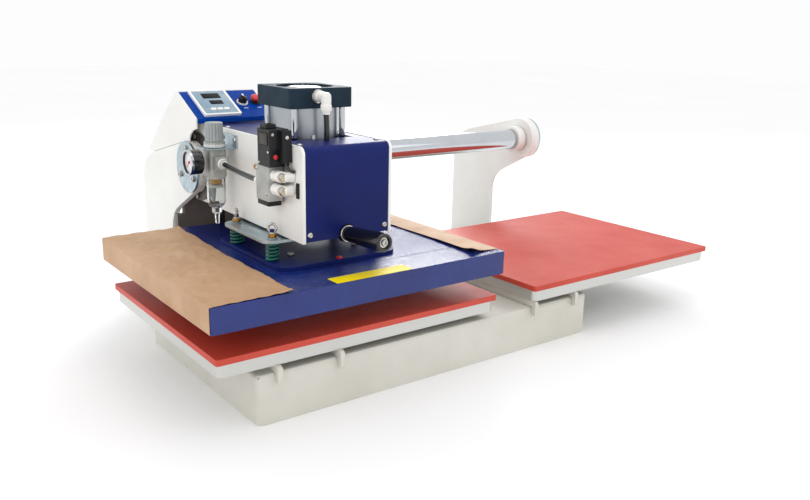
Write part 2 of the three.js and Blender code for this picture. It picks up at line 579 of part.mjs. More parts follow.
/** Filter-regulator on a bracket on the left cheek, with its gauge, bowl, knob and outlet tube. */
function buildRegulator() {
  const x = 80;
  const y = 288;
  const at = (z) => [x, y, z];
  const gaugeZ = 327;
  const half = 15.5;
  const body = join(
    plate([x - half, x + half], [y - half, y + half], [302, 346], 9, 4),
    bar(at(345), at(350), 14, undefined, 16),
    bar(at(348.8), at(357.6), 17, undefined, 20),
    block([x - 11, x + 11], [y - 27, y - 14], [315, 336]),
    block([x - 11, x + 11], [y + 14, y + 28], [315, 336]),
    bar([x, y - 26, 325], [x, y - 34, 325], 7.5, undefined, 12),
  );
  const inlet = bar([x, y + 20, 325], [x, y + 40, 325], 6.4, undefined, 10);
  piece('regulator_body', cut(body, inlet), 'grey_plastic');
  piece('regulator_knob', join(
    bar(at(358), at(362), 15.6, undefined, 20),
    bar(at(361.9), at(388), 14.6, 14, 28),
  ), 'grey_plastic');

  const bowl = cut(
    join(
      bar(at(251), at(257), 12, 15.2, 28),
      bar(at(256.9), at(301.7), 15.2, undefined, 20),
    ),
    bar(at(256), at(FAR), 13.2, undefined, 20),
  );
  const drain = join(bar(at(252), at(240), 8, undefined, 12), bar(at(241), at(223), 4.5, 3.4, 16));
  piece('regulator_bowl', join(bowl, drain), 'clear_plastic');

  const gaugeFace = 33;
  piece('pressure_gauge', cut(
    join(
      bar([gaugeFace, y, gaugeZ], [gaugeFace + 22, y, gaugeZ], 19.6, undefined, 24),
      bar([gaugeFace + 21, y, gaugeZ], [x - half - GAP, y, gaugeZ], 6, undefined, 10),
    ),
    bar([gaugeFace - 1, y, gaugeZ], [gaugeFace + 4, y, gaugeZ], 17.6, undefined, 24),
  ), 'black_plastic');
  piece('gauge_pointer', join(
    bar([gaugeFace + 1.6, y, gaugeZ], [gaugeFace + 3.6, y, gaugeZ], 2.2, undefined, 10),
    bar([gaugeFace + 2.6, y - 3, gaugeZ + 3], [gaugeFace + 2.6, y + 9.6, gaugeZ - 9.6], 1, 0.4, 8),
  ), 'black_plastic');

  const bracket = cut(
    join(
      block([HEAD.left - GAP - 2, HEAD.left - GAP], [y - 27, y + 27], [346.3, 368]),
      block([x - 21, HEAD.left - GAP], [y - 21, y + 21], [346.3, 348.3]),
    ),
    bar(at(300), at(400), 14.5, undefined, 16),
  );
  piece('regulator_bracket', bracket, 'zinc_steel');
  piece('air_tube_valve', hose(
    [[x, y - 34.4, 325], [x + 1, y - 70, 323], [x + 3, y - 105, 319], [x + 4, 152.6, 317]], 4, 8, 8,
  ), 'black_plastic');
}

/** Solenoid valve on the left cheek: valve block with its fittings, pilot and coil, override button, cable. */
function buildValve() {
  const cheek = HEAD.left - GAP;
  const ports = [330, 310].map((z) => join(
    bar([90, 107, z], [90, 80, z], 9, undefined, 12),
    bar([90, 84, z], [cheek, 84, z], 7.5, undefined, 12),
  ));
  piece('valve_body', join(
    block([78.5, 103], [106, 144], [291.2, 343]),
    block([80, 102], [109, 143], [284, 292]),
    block([102, cheek], [112, 138], [304, 340]),
    ...ports,
    bar([84, 143, 317], [84, 152, 317], 6, undefined, 10),
  ), 'machined_aluminium');
  const button = { x: 85, z: 358, y: 95 };
  piece('valve_coil', cut(
    join(
      block([76, cheek], [button.y, 131], [343.3, 369.5]),
      block([75, cheek - 1], [93, 129], [369, 397]),
      block([78, 94], [108, 125], [396, 403]),
      block([91, 106.2], [84, 96], [350, 396]),
    ),
    bar([button.x, button.y - 5, button.z], [button.x, button.y + 6, button.z], 3.9, undefined, 10),
  ), 'black_plastic');
  piece('valve_override', bar(
    [button.x, button.y - 2.2, button.z], [button.x, button.y + 3.8, button.z], 3.5, undefined, 16,
  ), 'red_plastic');
  piece('coil_cable', hose(
    [[98.5, 88.5, 349], [98.5, 88, 345.5], [100, 82.5, 341], [102.4, 78, 338.4], [106.4, 76.6, 337.4]], 2.2, 8, 8,
  ), 'black_plastic');
}

/** What the piston drives: the press plate, four springs, and the heated platen under its cover. */
function buildPlaten() {
  const studs = [[-1, -1], [1, -1], [-1, 1], [1, 1]].map(([i, j]) => (
    { x: HEAD_CENTRE_X + i * STUDS.dx, y: PRESS_Y + j * STUDS.dy }
  ));
  const holes = studs.map(({ x, y }) => bar([x, y, 0], [x, y, FAR], STUDS.radius + 0.8, undefined, 10));
  piece('press_plate', cut(plate(
    [PRESS_PLATE.left, PRESS_PLATE.right], [PRESS_PLATE.front, PRESS_PLATE.back],
    [PRESS_PLATE.bottom, PRESS_PLATE.top], PRESS_PLATE.corner,
  ), ...holes), 'zinc_steel');

  studs.forEach(({ x, y }, index) => {
    const ends = [[x, y, MOUNT_PLATE.top + GAP], [x, y, PRESS_PLATE.bottom - GAP]];
    piece(`press_spring_${index + 1}`, cut(
      bar(...ends, SPRING.outer, undefined, 12),
      bar([x, y, 0], [x, y, FAR], SPRING.inner, undefined, 12),
    ), 'spring_green');
  });

  piece('platen_mount', join(
    plate(
      [MOUNT_PLATE.left, MOUNT_PLATE.right], [MOUNT_PLATE.front, MOUNT_PLATE.back],
      [MOUNT_PLATE.bottom, MOUNT_PLATE.top], MOUNT_PLATE.corner,
    ),
    ...studs.map(({ x, y }) => bar([x, y, MOUNT_PLATE.top - 1], [x, y, STUDS.top], STUDS.radius, undefined, 10)),
  ), 'blue_hammertone');

  piece('heating_plate', plate(
    [PLATEN.left, PLATEN.left + PLATEN.width], [PLATEN.front, PLATEN.front + PLATEN.depth],
    [HEATER.bottom, HEATER.top], HEATER.corner, 3,
  ), 'machined_aluminium');

  const w = COVER.wall;
  const hood = cut(
    plate([COVER.left, COVER.right], [COVER.front, COVER.back], [COVER.bottom, COVER.top], COVER.corner, 3),
    plate(
      [COVER.left + w, COVER.right - w], [COVER.front + w, COVER.back - w],
      [COVER.bottom - 1, COVER.top - w], COVER.corner - w, 3,
    ),
  );
  const behind = block([-FAR, FAR], [COVER.seam - GAP / 2, FAR], [0, FAR]);
  const ahead = block([-FAR, FAR], [-FAR, COVER.seam + GAP / 2], [0, FAR]);
  piece('platen_cover', cut(hood, ahead), 'blue_hammertone');
  piece('platen_cover_front', cut(hood, behind), 'blue_hammertone');
}

buildBase();
buildStations();
buildShaft();
buildControls();
buildHead();
buildCylinder();
buildHandle();
buildRegulator();
buildValve();
buildPlaten();

// Put the origin at the middle of the footprint, on the floor.
const box = new THREE.Box3().setFromObject(press, true);
const middle = box.getCenter(new THREE.Vector3());
press.position.set(-middle.x, -middle.y, -box.min.z);

const model = new THREE.Group();
model.add(press);
export default model;
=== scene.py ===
"""Looks of a pneumatic double-station heat press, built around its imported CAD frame.

Every piece is drawn in millimetres from the drawing datum, the front left bottom corner of the sheet-metal
base, with +X to the right, +Y to the back and +Z up, and is then put into the row frame in metres.
"""

import logging
import math
from dataclasses import dataclass, field
from enum import Enum

import bmesh
import bpy
import numpy as np
from mathutils import Matrix, Vector


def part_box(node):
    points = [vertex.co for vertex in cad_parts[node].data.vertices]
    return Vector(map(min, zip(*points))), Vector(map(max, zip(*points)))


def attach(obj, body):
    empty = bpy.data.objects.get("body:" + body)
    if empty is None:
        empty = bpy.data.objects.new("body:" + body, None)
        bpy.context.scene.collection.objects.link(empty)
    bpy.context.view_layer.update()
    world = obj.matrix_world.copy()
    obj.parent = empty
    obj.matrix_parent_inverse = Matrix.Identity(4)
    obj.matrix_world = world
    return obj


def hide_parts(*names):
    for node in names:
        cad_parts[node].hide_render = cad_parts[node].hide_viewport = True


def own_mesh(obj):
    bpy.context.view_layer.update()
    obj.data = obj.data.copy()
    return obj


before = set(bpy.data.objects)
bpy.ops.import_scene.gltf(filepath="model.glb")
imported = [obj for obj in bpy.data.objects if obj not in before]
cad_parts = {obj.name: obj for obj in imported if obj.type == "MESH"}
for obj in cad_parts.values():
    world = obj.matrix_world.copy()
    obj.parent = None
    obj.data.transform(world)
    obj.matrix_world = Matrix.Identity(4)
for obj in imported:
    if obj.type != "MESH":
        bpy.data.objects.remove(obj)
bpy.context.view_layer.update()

LOG = logging.getLogger("heat_press")
MM = 0.001
DATUM = np.array(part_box("base_shell")[0])
UP = (0.0, 0.0, 1.0)
ALONG_X = (1.0, 0.0, 0.0)
ALONG_Y = (0.0, 1.0, 0.0)
FORWARD = (0.0, -1.0, 0.0)


# ------------------------------------------------------------------ shapes


@dataclass
class Shape:
    """Vertices in millimetres from the datum, and the faces that join them."""

    points: np.ndarray
    faces: list[list[int]]

    def __add__(self, other: "Shape") -> "Shape":
        """Both shapes as one, without joining their surfaces."""
        moved = [[i + len(self.points) for i in face] for face in other.faces]
        return Shape(np.vstack([self.points, other.points]), self.faces + moved)

    def mapped(self, matrix: np.ndarray, origin: tuple[float, float, float]) -> "Shape":
        """The shape turned by a 3 by 3 matrix, then moved to the origin given."""
        return Shape(self.points @ np.asarray(matrix).T + np.asarray(origin), self.faces)


def together(shapes: list[Shape]) -> Shape:
    """All the shapes as one, without joining their surfaces."""
    whole = shapes[0]
    for shape in shapes[1:]:
        whole = whole + shape
    return whole


def axes_about(axis: tuple[float, float, float]) -> tuple[np.ndarray, np.ndarray, np.ndarray]:
    """Two directions across an axis and the axis itself, right-handed and of unit length."""
    w = np.asarray(axis, float) / np.linalg.norm(axis)
    helper = np.array([0.0, 0.0, 1.0]) if abs(w[2]) < 0.9 else np.array([1.0, 0.0, 0.0])
    u = np.cross(helper, w)
    u /= np.linalg.norm(u)
    return u, np.cross(w, u), w


def sheet_of_quads(grid: np.ndarray, close_rows: bool = False, close_columns: bool = False) -> Shape:
    """Quads over a grid of points.

    Args:
        grid: points with the shape (rows, columns, 3).
        close_rows: join the last row to the first.
        close_columns: join the last column to the first.

    Returns:
        The surface, whose normal is the row direction crossed with the column direction.
    """
    rows, columns = grid.shape[:2]
    i, j = np.meshgrid(
        np.arange(rows if close_rows else rows - 1),
        np.arange(columns if close_columns else columns - 1),
        indexing="ij",
    )
    i2, j2 = (i + 1) % rows, (j + 1) % columns
    quads = np.stack([i * columns + j, i2 * columns + j, i2 * columns + j2, i * columns + j2], axis=-1)
    return Shape(grid.reshape(-1, 3), quads.reshape(-1, 4).tolist())


def with_ends(grid: np.ndarray) -> Shape:
    """A tube of rings, closed round each ring, with a flat face over its first and last ring."""
    shape = sheet_of_quads(grid, close_columns=True)
    rows, columns = grid.shape[:2]
    last = (rows - 1) * columns
    shape.faces.append(list(range(columns)))
    shape.faces.append([last + k for k in reversed(range(columns))])
    return shape


def eased(corners: list[tuple[float, ...]], radius: float, steps: int = 3) -> np.ndarray:
    """An open line with its inner corners rounded.

    Each inner corner c becomes the curve (1-t)^2 a + 2t(1-t) c + t^2 b, where a and b lie on the two legs at
    the radius from c, or at a little under half of a leg that is too short for it.
    """
    p = np.asarray(corners, float)
    before, here, after = p[:-2], p[1:-1], p[2:]
    back, ahead = before - here, after - here
    back_len = np.linalg.norm(back, axis=1, keepdims=True)
    ahead_len = np.linalg.norm(ahead, axis=1, keepdims=True)
    reach = np.minimum(radius, 0.49 * np.minimum(back_len, ahead_len))
    a, b = here + back / back_len * reach, here + ahead / ahead_len * reach
    t = np.linspace(0, 1, steps + 1)[None, :, None]
    bends = (1 - t) ** 2 * a[:, None] + 2 * t * (1 - t) * here[:, None] + t**2 * b[:, None]
    return np.vstack([p[:1], bends.reshape(-1, p.shape[1]), p[-1:]])


def turned(
    profile: list[tuple[float, float]],
    origin: tuple[float, float, float],
    axis: tuple[float, float, float] = UP,
    edge: float = 0.4,
    steps: int = 40,
    flutes: int = 0,
    flute_depth: float = 0.0,
) -> Shape:
    """A lathe-turned solid.

    Args:
        profile: (radius, height) corners from the axis at the bottom, outwards and up, back to the axis; one
            that starts off the axis is a ring, and is closed back to its first corner.
        origin: where height 0 lies on the axis.
        axis: the direction of height.
        edge: the rounding of the corners.
        steps: how many steps go round.
        flutes: how many flutes run up the side.
        flute_depth: their depth; the radius is r - depth * (1 - |cos(flutes * angle / 2)|^0.6).

    Returns:
        The closed surface origin + h * axis + r * (cos a * u + sin a * v).
    """
    line = eased(profile if profile[0][0] == 0 else [*profile, profile[0]], edge)
    u, v, w = axes_about(axis)
    angle = np.linspace(0, 2 * np.pi, steps, endpoint=False)
    radius = np.broadcast_to(line[:, :1], (len(line), steps)).copy()
    if flutes:
        grooved = (line[:, :1] > 0.9 * line[:, 0].max()).astype(float)
        radius -= grooved * flute_depth * (1 - np.abs(np.cos(flutes * angle / 2)) ** 0.6)[None]
    around = np.cos(angle)[:, None] * u + np.sin(angle)[:, None] * v
    grid = np.asarray(origin) + line[:, 1, None, None] * w + radius[..., None] * around[None]
    shape = sheet_of_quads(grid, close_columns=True)
    return Shape(shape.points, [face[::-1] for face in shape.faces])


def swept(path: np.ndarray, section: np.ndarray, sideways: tuple[float, float, float]) -> Shape:
    """A bar of one section carried along a path.

    At each point the section's first number goes along n = tangent x sideways and its second along tangent x
    n, so the surface is path + s * n + t * (tangent x n). Both ends are closed.
    """
    tangent = np.gradient(path, axis=0)
    tangent /= np.linalg.norm(tangent, axis=1, keepdims=True)
    n = np.cross(tangent, np.asarray(sideways, float))
    n /= np.linalg.norm(n, axis=1, keepdims=True)
    b = np.cross(tangent, n)
    grid = path[:, None] + section[None, :, :1] * n[:, None] + section[None, :, 1:] * b[:, None]
    return with_ends(grid)


def ring_section(radius: float, sides: int = 12) -> np.ndarray:
    """A round section: (r cos a, r sin a)."""
    a = np.linspace(0, 2 * np.pi, sides, endpoint=False)
    return radius * np.stack([np.cos(a), np.sin(a)], axis=1)


def box_outline(width: float, depth: float, corner: float, steps: int = 5) -> np.ndarray:
    """A rectangle with round corners, anticlockwise: four quarter circles about the inner corners."""
    corner = max(corner, 0.01)
    centre = np.array([[1, 1], [-1, 1], [-1, -1], [1, -1]]) * [width / 2 - corner, depth / 2 - corner]
    angle = np.linspace(0, np.pi / 2, steps + 1)[None] + np.arange(4)[:, None] * np.pi / 2
    arc = np.stack([np.cos(angle), np.sin(angle)], axis=-1) * corner
    return (centre[:, None] + arc).reshape(-1, 2)


def block(
    low: tuple[float, float, float],
    high: tuple[float, float, float],
    corner: float = 1.0,
    edge: float = 0.5,
) -> Shape:
    """A box with round upright corners and softened top and bottom edges.

    Rings of the rounded outline are stacked; near the top and bottom a ring is drawn in by edge * (1 - cos a)
    where it stands edge * (1 - sin a) from the face.
    """
    low_, high_ = np.asarray(low, float), np.asarray(high, float)
    size, middle = high_ - low_, (low_ + high_) / 2
    edge = min(edge, 0.45 * size.min())
    a = np.linspace(0, np.pi / 2, 4)
    inset = np.concatenate([edge * (1 - np.cos(a))[::-1], edge * (1 - np.cos(a))])
    height = np.concatenate([low_[2] + edge * (1 - np.sin(a))[::-1], high_[2] - edge * (1 - np.sin(a))])
    rings = [
        np.column_stack(
            [
                box_outline(size[0] - 2 * i, size[1] - 2 * i, max(corner - i, 0.05)) + middle[:2],
                np.full(24, h),
            ]
        )
        for i, h in zip(inset, height)
    ]
    shape = with_ends(np.stack(rings))
    return Shape(shape.points, [face[::-1] for face in shape.faces])


class Drive(Enum):
    """The recess in a screw's head."""

    CROSS = "cross"
    SOCKET = "socket"


def screw(
    at: tuple[float, float, float],
    axis: tuple[float, float, float],
    radius: float,
    drive: Drive = Drive.CROSS,
    height: float | None = None,
) -> Shape:
    """A screw's head standing on the point given, with its recess sunk into it.

    Args:
        at: where the head's underside meets its axis.
        axis: the direction the head points.
        radius: the head's radius.
        drive: the recess.
        height: the head's height, or half its radius where it isn't given.

    Returns:
        The head as a turned solid: domed for a cross, flat-topped for a socket.
    """
    tall = height or 0.55 * radius
    hole = 0.42 * radius
    if drive is Drive.CROSS:
        profile = [(0, 0), (radius, 0), (radius, 0.35 * tall), (0.6 * radius, tall), (hole, tall),
                   (0, 0.35 * tall)]
    else:
        profile = [(0, 0), (radius, 0), (radius, tall), (hole, tall), (hole, 0.4 * tall), (0, 0.4 * tall)]
    return turned(profile, at, axis, edge=0.16 * radius, steps=18 if drive is Drive.CROSS else 24)


def nut(at: tuple[float, float, float], axis: tuple[float, float, float], radius: float,
        height: float) -> Shape:
    """A hexagon nut or bolt head standing on the point given, with softened rims."""
    e = 0.12 * radius
    profile = [(0, 0), (radius - e, 0), (radius, e), (radius, height - e), (radius - e, height), (0, height)]
    return turned(profile, at, axis, edge=0.01, steps=6)


def crumple(x: np.ndarray, y: np.ndarray, wavelength: float, seed: int, waves: int = 7) -> np.ndarray:
    """Creases with sharp crests: the mean of 1 - 2|sin(k . p + phase)| over waves in random directions."""
    rng = np.random.default_rng(seed)
    angle, phase = rng.uniform(0, np.pi, waves), rng.uniform(0, 2 * np.pi, waves)
    k = np.pi / wavelength * rng.uniform(0.6, 1.5, waves)
    along = x[..., None] * np.cos(angle) + y[..., None] * np.sin(angle)
    bend = 0.8 * np.sin(0.37 * k * (x[..., None] * np.sin(angle) - y[..., None] * np.cos(angle)))
    return (1 - 2 * np.abs(np.sin(k * along + phase + bend))).mean(axis=-1)


# ------------------------------------------------------------------ finishes


def linear(colour: str, alpha: float = 1.0) -> tuple[float, float, float, float]:
    """A hex sRGB colour as linear light."""
    s = np.array([int(colour[i : i + 2], 16) for i in (1, 3, 5)]) / 255
    value = np.where(s <= 0.04045, s / 12.92, ((s + 0.055) / 1.055) ** 2.4)
    return (float(value[0]), float(value[1]), float(value[2]), alpha)


def add(
    tree: bpy.types.NodeTree,
    kind: str,
    settings: dict | None = None,
    values: dict | None = None,
    links: dict | None = None,
) -> bpy.types.Node:
    """Adds one node to a material's tree.

    Args:
        tree: the tree.
        kind: the node's type name.
        settings: its properties.
        values: its unlinked inputs.
        links: the sockets that feed its other inputs.

    Returns:
        The node.
    """
    made = tree.nodes.new(kind)
    for key, value in (settings or {}).items():
        setattr(made, key, value)
    for key, value in (values or {}).items():
        made.inputs[key].default_value = value
    for key, socket in (links or {}).items():
        tree.links.new(socket, made.inputs[key])
    return made


class Pattern(Enum):
    """How a finish's surface was made, which decides its bump."""

    PEEL = "powder coat, baked: low round orange peel"
    HAMMER = "hammertone paint: dimples a few millimetres across, which break up every highlight"
    CAST = "cast and blasted: pits and lumps"
    MILLED = "milled or drawn: fine parallel lines"
    GROUND = "ground in a lathe: fine rings about the X axis"
    MOULDED = "moulded: fine even grain"
    FOAM = "foamed rubber: closed pores"
    FIBRE = "paper: long soft fibres"
    PLAIN = "smooth"


@dataclass(frozen=True)
class Finish:
    """One finish: what the material is, how it was made, and its numbers.

    The pattern's grain is the size in millimetres of its bumps; relief is their height.
    """

    name: str
    colour: str
    second: str
    pattern: Pattern
    grain: float
    relief: float
    roughness: float
    uneven: float = 0.08
    metallic: float = 0.0
    coat: float = 0.0
    coat_roughness: float = 0.1
    transmission: float = 0.0
    ior: float = 1.5
    speckle: float = 0.0
    patch: float = 120.0
    specular: float = 0.5
    slot: str = ""

    def stretch(self) -> tuple[float, float, float]:
        """How the pattern's coordinates are scaled, so that milled lines and ground rings come out long."""
        if self.pattern is Pattern.MILLED:
            return (0.03, 1.0, 1.0)
        if self.pattern is Pattern.GROUND:
            return (1.0, 0.02, 0.02)
        if self.pattern is Pattern.FIBRE:
            return (1.0, 0.22, 1.0)
        return (1.0, 1.0, 1.0)

    def material(self) -> bpy.types.Material:
        """The finish as a material, made once and then shared."""
        found = bpy.data.materials.get(self.name)
        if found:
            return found
        made = bpy.data.materials.new(self.name)
        made.use_nodes = True
        tree = made.node_tree
        tree.nodes.clear()
        place = add(tree, "ShaderNodeTexCoord").outputs["Object"]
        scaled = add(
            tree, "ShaderNodeMapping", values={"Scale": self.stretch()}, links={"Vector": place}
        ).outputs["Vector"]
        per_metre = 1000 / self.grain
        grain = self.grain_height(tree, scaled, per_metre)
        cloud = add(
            tree,
            "ShaderNodeTexNoise",
            values={"Scale": 1000 / self.patch, "Detail": 4.0, "Roughness": 0.6},
            links={"Vector": place},
        ).outputs["Fac"]
        tone = self.tone(tree, cloud, grain)
        rough = add(
            tree,
            "ShaderNodeMapRange",
            values={
                "From Min": 0.3,
                "From Max": 0.7,
                "To Min": max(self.roughness - self.uneven, 0.02),
                "To Max": min(self.roughness + self.uneven, 1.0),
            },
            links={"Value": cloud},
        ).outputs["Result"]
        bump = add(
            tree,
            "ShaderNodeBump",
            values={"Strength": 1.0, "Distance": self.relief * MM},
            links={"Height": grain},
        ).outputs["Normal"]
        shader = add(
            tree,
            "ShaderNodeBsdfPrincipled",
            values={
                "Metallic": self.metallic,
                "Coat Weight": self.coat,
                "Coat Roughness": self.coat_roughness,
                "Transmission Weight": self.transmission,
                "IOR": self.ior,
                "Specular IOR Level": self.specular,
            },
            links={"Base Color": tone, "Roughness": rough, "Normal": bump},
        )
        add(tree, "ShaderNodeOutputMaterial", links={"Surface": shader.outputs["BSDF"]})
        return made

    def grain_height(
        self, tree: bpy.types.NodeTree, place: bpy.types.NodeSocket, per_metre: float
    ) -> bpy.types.NodeSocket:
        """The height of the fine pattern, from 0 to 1."""
        if self.pattern is Pattern.HAMMER:
            warp = add(
                tree, "ShaderNodeTexNoise", values={"Scale": per_metre * 1.6, "Detail": 2.0},
                links={"Vector": place}
            ).outputs["Color"]
            shifted = add(
                tree,
                "ShaderNodeVectorMath",
                {"operation": "MULTIPLY_ADD"},
                {1: (self.grain * MM * 0.5,) * 3},
                {0: warp, 2: place},
            ).outputs["Vector"]
            return add(
                tree,
                "ShaderNodeTexVoronoi",
                {"feature": "SMOOTH_F1"},
                {"Scale": per_metre, "Smoothness": 0.6},
                {"Vector": shifted},
            ).outputs["Distance"]
        if self.pattern is Pattern.FOAM:
            cells = add(tree, "ShaderNodeTexVoronoi", values={"Scale": per_metre}, links={"Vector": place})
            return cells.outputs["Distance"]
        detail = {Pattern.CAST: 6.0, Pattern.PEEL: 0.5, Pattern.PLAIN: 0.0}.get(self.pattern, 3.0)
        return add(
            tree, "ShaderNodeTexNoise", values={"Scale": per_metre, "Detail": detail}, links={"Vector": place}
        ).outputs["Fac"]

    def tone(
        self, tree: bpy.types.NodeTree, cloud: bpy.types.NodeSocket, grain: bpy.types.NodeSocket
    ) -> bpy.types.NodeSocket:
        """The colour: the first drifting to the second in soft patches, with the grain where it speckles."""
        drift = add(
            tree, "ShaderNodeMapRange", values={"From Min": 0.35, "From Max": 0.68}, links={"Value": cloud}
        ).outputs["Result"]
        if self.speckle:
            share = add(
                tree, "ShaderNodeMath", {"operation": "MULTIPLY"}, {1: self.speckle}, {0: grain}
            ).outputs["Value"]
            rest = add(
                tree, "ShaderNodeMath", {"operation": "MULTIPLY"}, {1: 1 - self.speckle}, {0: drift}
            ).outputs["Value"]
            drift = add(tree, "ShaderNodeMath", {"operation": "ADD", "use_clamp": True}, {},
                        {0: share, 1: rest})
            drift = drift.outputs["Value"]
        mix = add(
            tree,
            "ShaderNodeMix",
            {"data_type": "RGBA"},
            {"A": linear(self.colour), "B": linear(self.second)},
            {"Factor": drift},
        )
        return mix.outputs["Result"]


# Polyester powder coat, cream on the base and white on the head: low orange peel, a soft gloss.
CREAM = Finish(
    "powder_coat_cream", "#d6d4ca", "#cdcabf", Pattern.PEEL, 2.4, 0.05, 0.4, coat=0.15, coat_roughness=0.25,
    slot="cream_paint",
)
WHITE = Finish(
    "powder_coat_white", "#f0f0ec", "#e9e9e5", Pattern.PEEL, 2.4, 0.05, 0.38, coat=0.15, coat_roughness=0.2,
    slot="white_paint",
)
# Hammertone stove enamel over steel: navy, with dimples about 2.4 mm across that break highlights into
# sparks. The lighter blue mixed in along the dimples' rims is partly the enamel's own mottle and partly
# painted sparkle standing for glints of reflected light.
NAVY = Finish(
    "hammertone_navy", "#101d60", "#17307e", Pattern.HAMMER, 2.4, 0.5, 0.16, 0.04, speckle=0.3, specular=0.5,
    slot="blue_hammertone",
)
NAVY_SMOOTH = Finish(
    "gloss_enamel_navy", "#101b58", "#13226b", Pattern.PEEL, 3.0, 0.05, 0.4, 0.05, specular=0.16,
    slot="blue_hammertone",
)
NAVY_PANEL = Finish(
    "gloss_enamel_panel_blue", "#003a92", "#013f9c", Pattern.PEEL, 2.6, 0.04, 0.45, 0.05, specular=0.06,
    slot="blue_hammertone",
)
# Aluminium casting, blasted: dull grey, pitted, a little darker in its hollows.
CASTING = Finish(
    "cast_aluminium", "#66665f", "#67675f", Pattern.CAST, 3.2, 0.45, 0.5, 0.1, metallic=0.6, speckle=0.5,
    patch=60, slot="cast_aluminium",
)
# Milled and drawn aluminium: fine lines that stretch the highlight.
MILLED = Finish(
    "milled_aluminium", "#a9acaf", "#95999d", Pattern.MILLED, 0.8, 0.04, 0.32, metallic=1.0, patch=40,
    slot="machined_aluminium",
)
BARREL = Finish(
    "anodised_barrel", "#aeb3b7", "#9ba1a6", Pattern.MILLED, 0.9, 0.02, 0.36, 0.04, metallic=1.0,
    slot="machined_aluminium",
)
# Silicone foam: closed pores, matt, pale where light grazes it.
SILICONE = Finish(
    "silicone_foam_red", "#cc432d", "#c23824", Pattern.FOAM, 1.1, 0.08, 0.5, 0.06, speckle=0.12, specular=0.6,
    slot="silicone",
)
# Hard chrome on a ground shaft: a mirror with hair-fine rings.
CHROME = Finish(
    "hard_chrome", "#c9cdd1", "#bcc1c5", Pattern.GROUND, 0.7, 0.01, 0.1, 0.03, metallic=1.0, slot="chrome"
)
# Bright zinc plate: bluish, cloudy from one crystal patch to the next.
ZINC = Finish(
    "zinc_plate", "#b9c8ce", "#9fb0b8", Pattern.CAST, 5.0, 0.04, 0.3, 0.1, metallic=0.9, patch=22,
    slot="zinc_steel"
)
BRIGHT = Finish(
    "nickel_plate", "#cfcdc8", "#aeaba4", Pattern.CAST, 2.0, 0.02, 0.2, 0.06, metallic=1.0, patch=10,
    slot="zinc_steel"
)
BRASS = Finish("brass", "#b98d45", "#94703a", Pattern.MILLED, 0.8, 0.03, 0.3, 0.08, metallic=1.0, patch=10)
PALE_BRASS = Finish("nickelled_brass", "#c6bb9c", "#a99c7c", Pattern.GROUND, 0.6, 0.03, 0.3, 0.06,
                    metallic=0.9, patch=10)
# Oiled mild steel: brown-grey, fine drawing lines, darker where the oil lies.
STEEL = Finish(
    "oiled_steel", "#5f5b55", "#46433e", Pattern.MILLED, 0.9, 0.04, 0.42, 0.1, metallic=0.8, patch=45,
    slot="steel"
)
ARM_STEEL = Finish(
    "phosphated_steel", "#77716a", "#676159", Pattern.CAST, 1.6, 0.05, 0.55, 0.08, metallic=0.3, patch=45,
    slot="steel"
)
# Slate-coloured anodised end caps: satin, very fine blasted grain.
SLATE = Finish(
    "anodised_slate", "#1f3543", "#192936", Pattern.CAST, 1.4, 0.03, 0.55, 0.06, patch=50, specular=0.15,
    slot="slate_anodised",
)
SPRING = Finish(
    "lacquered_spring", "#0b6f5c", "#07584b", Pattern.PEEL, 1.2, 0.04, 0.3, coat=0.3, patch=12,
    slot="spring_green"
)
# Moulded plastics and rubber: even fine grain; bakelite is the glossiest.
BLACK = Finish(
    "moulded_black", "#121315", "#191a1d", Pattern.MOULDED, 0.8, 0.03, 0.42, patch=30, specular=0.3,
    slot="black_plastic",
)
GRIP_BLACK = Finish(
    "bakelite_black", "#0c0d0f", "#131416", Pattern.MOULDED, 1.6, 0.02, 0.2, 0.05, coat=0.4, patch=30,
    slot="black_plastic",
)
RUBBER = Finish(
    "hose_black", "#0f1012", "#17181a", Pattern.MOULDED, 1.0, 0.03, 0.25, coat=0.3, patch=30,
    slot="black_plastic"
)
GREY = Finish(
    "moulded_grey", "#a4a9aa", "#92989a", Pattern.MOULDED, 1.0, 0.03, 0.42, patch=25, slot="grey_plastic"
)
PALE_GREY = Finish(
    "moulded_pale_grey", "#dcddda", "#cdcecb", Pattern.MOULDED, 1.0, 0.03, 0.4, patch=25, slot="grey_plastic"
)
DIE_CAST = Finish(
    "die_cast_zinc_grey", "#b3b4b0", "#9b9c98", Pattern.CAST, 1.6, 0.05, 0.42, metallic=0.4, patch=25,
    slot="grey_plastic",
)
RED = Finish(
    "moulded_red", "#d81e2c", "#c01824", Pattern.MOULDED, 1.2, 0.02, 0.3, coat=0.3, patch=15,
    slot="red_plastic"
)
BOWL = Finish(
    "polycarbonate_clear", "#f4f6f5", "#eaeeed", Pattern.PLAIN, 8.0, 0.01, 0.06, 0.03, transmission=1.0,
    ior=1.4, slot="clear_plastic",
)
IVORY = Finish(
    "nylon_white", "#f3f2ee", "#e6e4de", Pattern.MOULDED, 1.0, 0.02, 0.32, coat=0.2, patch=15,
    slot="white_plastic"
)
KEY_WHITE = Finish(
    "membrane_key_white", "#f7f7f5", "#eeeeec", Pattern.MOULDED, 0.9, 0.02, 0.42, patch=10,
    slot="white_plastic"
)
FACE_GREY = Finish("membrane_grey_blue", "#93aab8", "#869eac", Pattern.MOULDED, 0.9, 0.02, 0.5, patch=20,
                   specular=0.2)
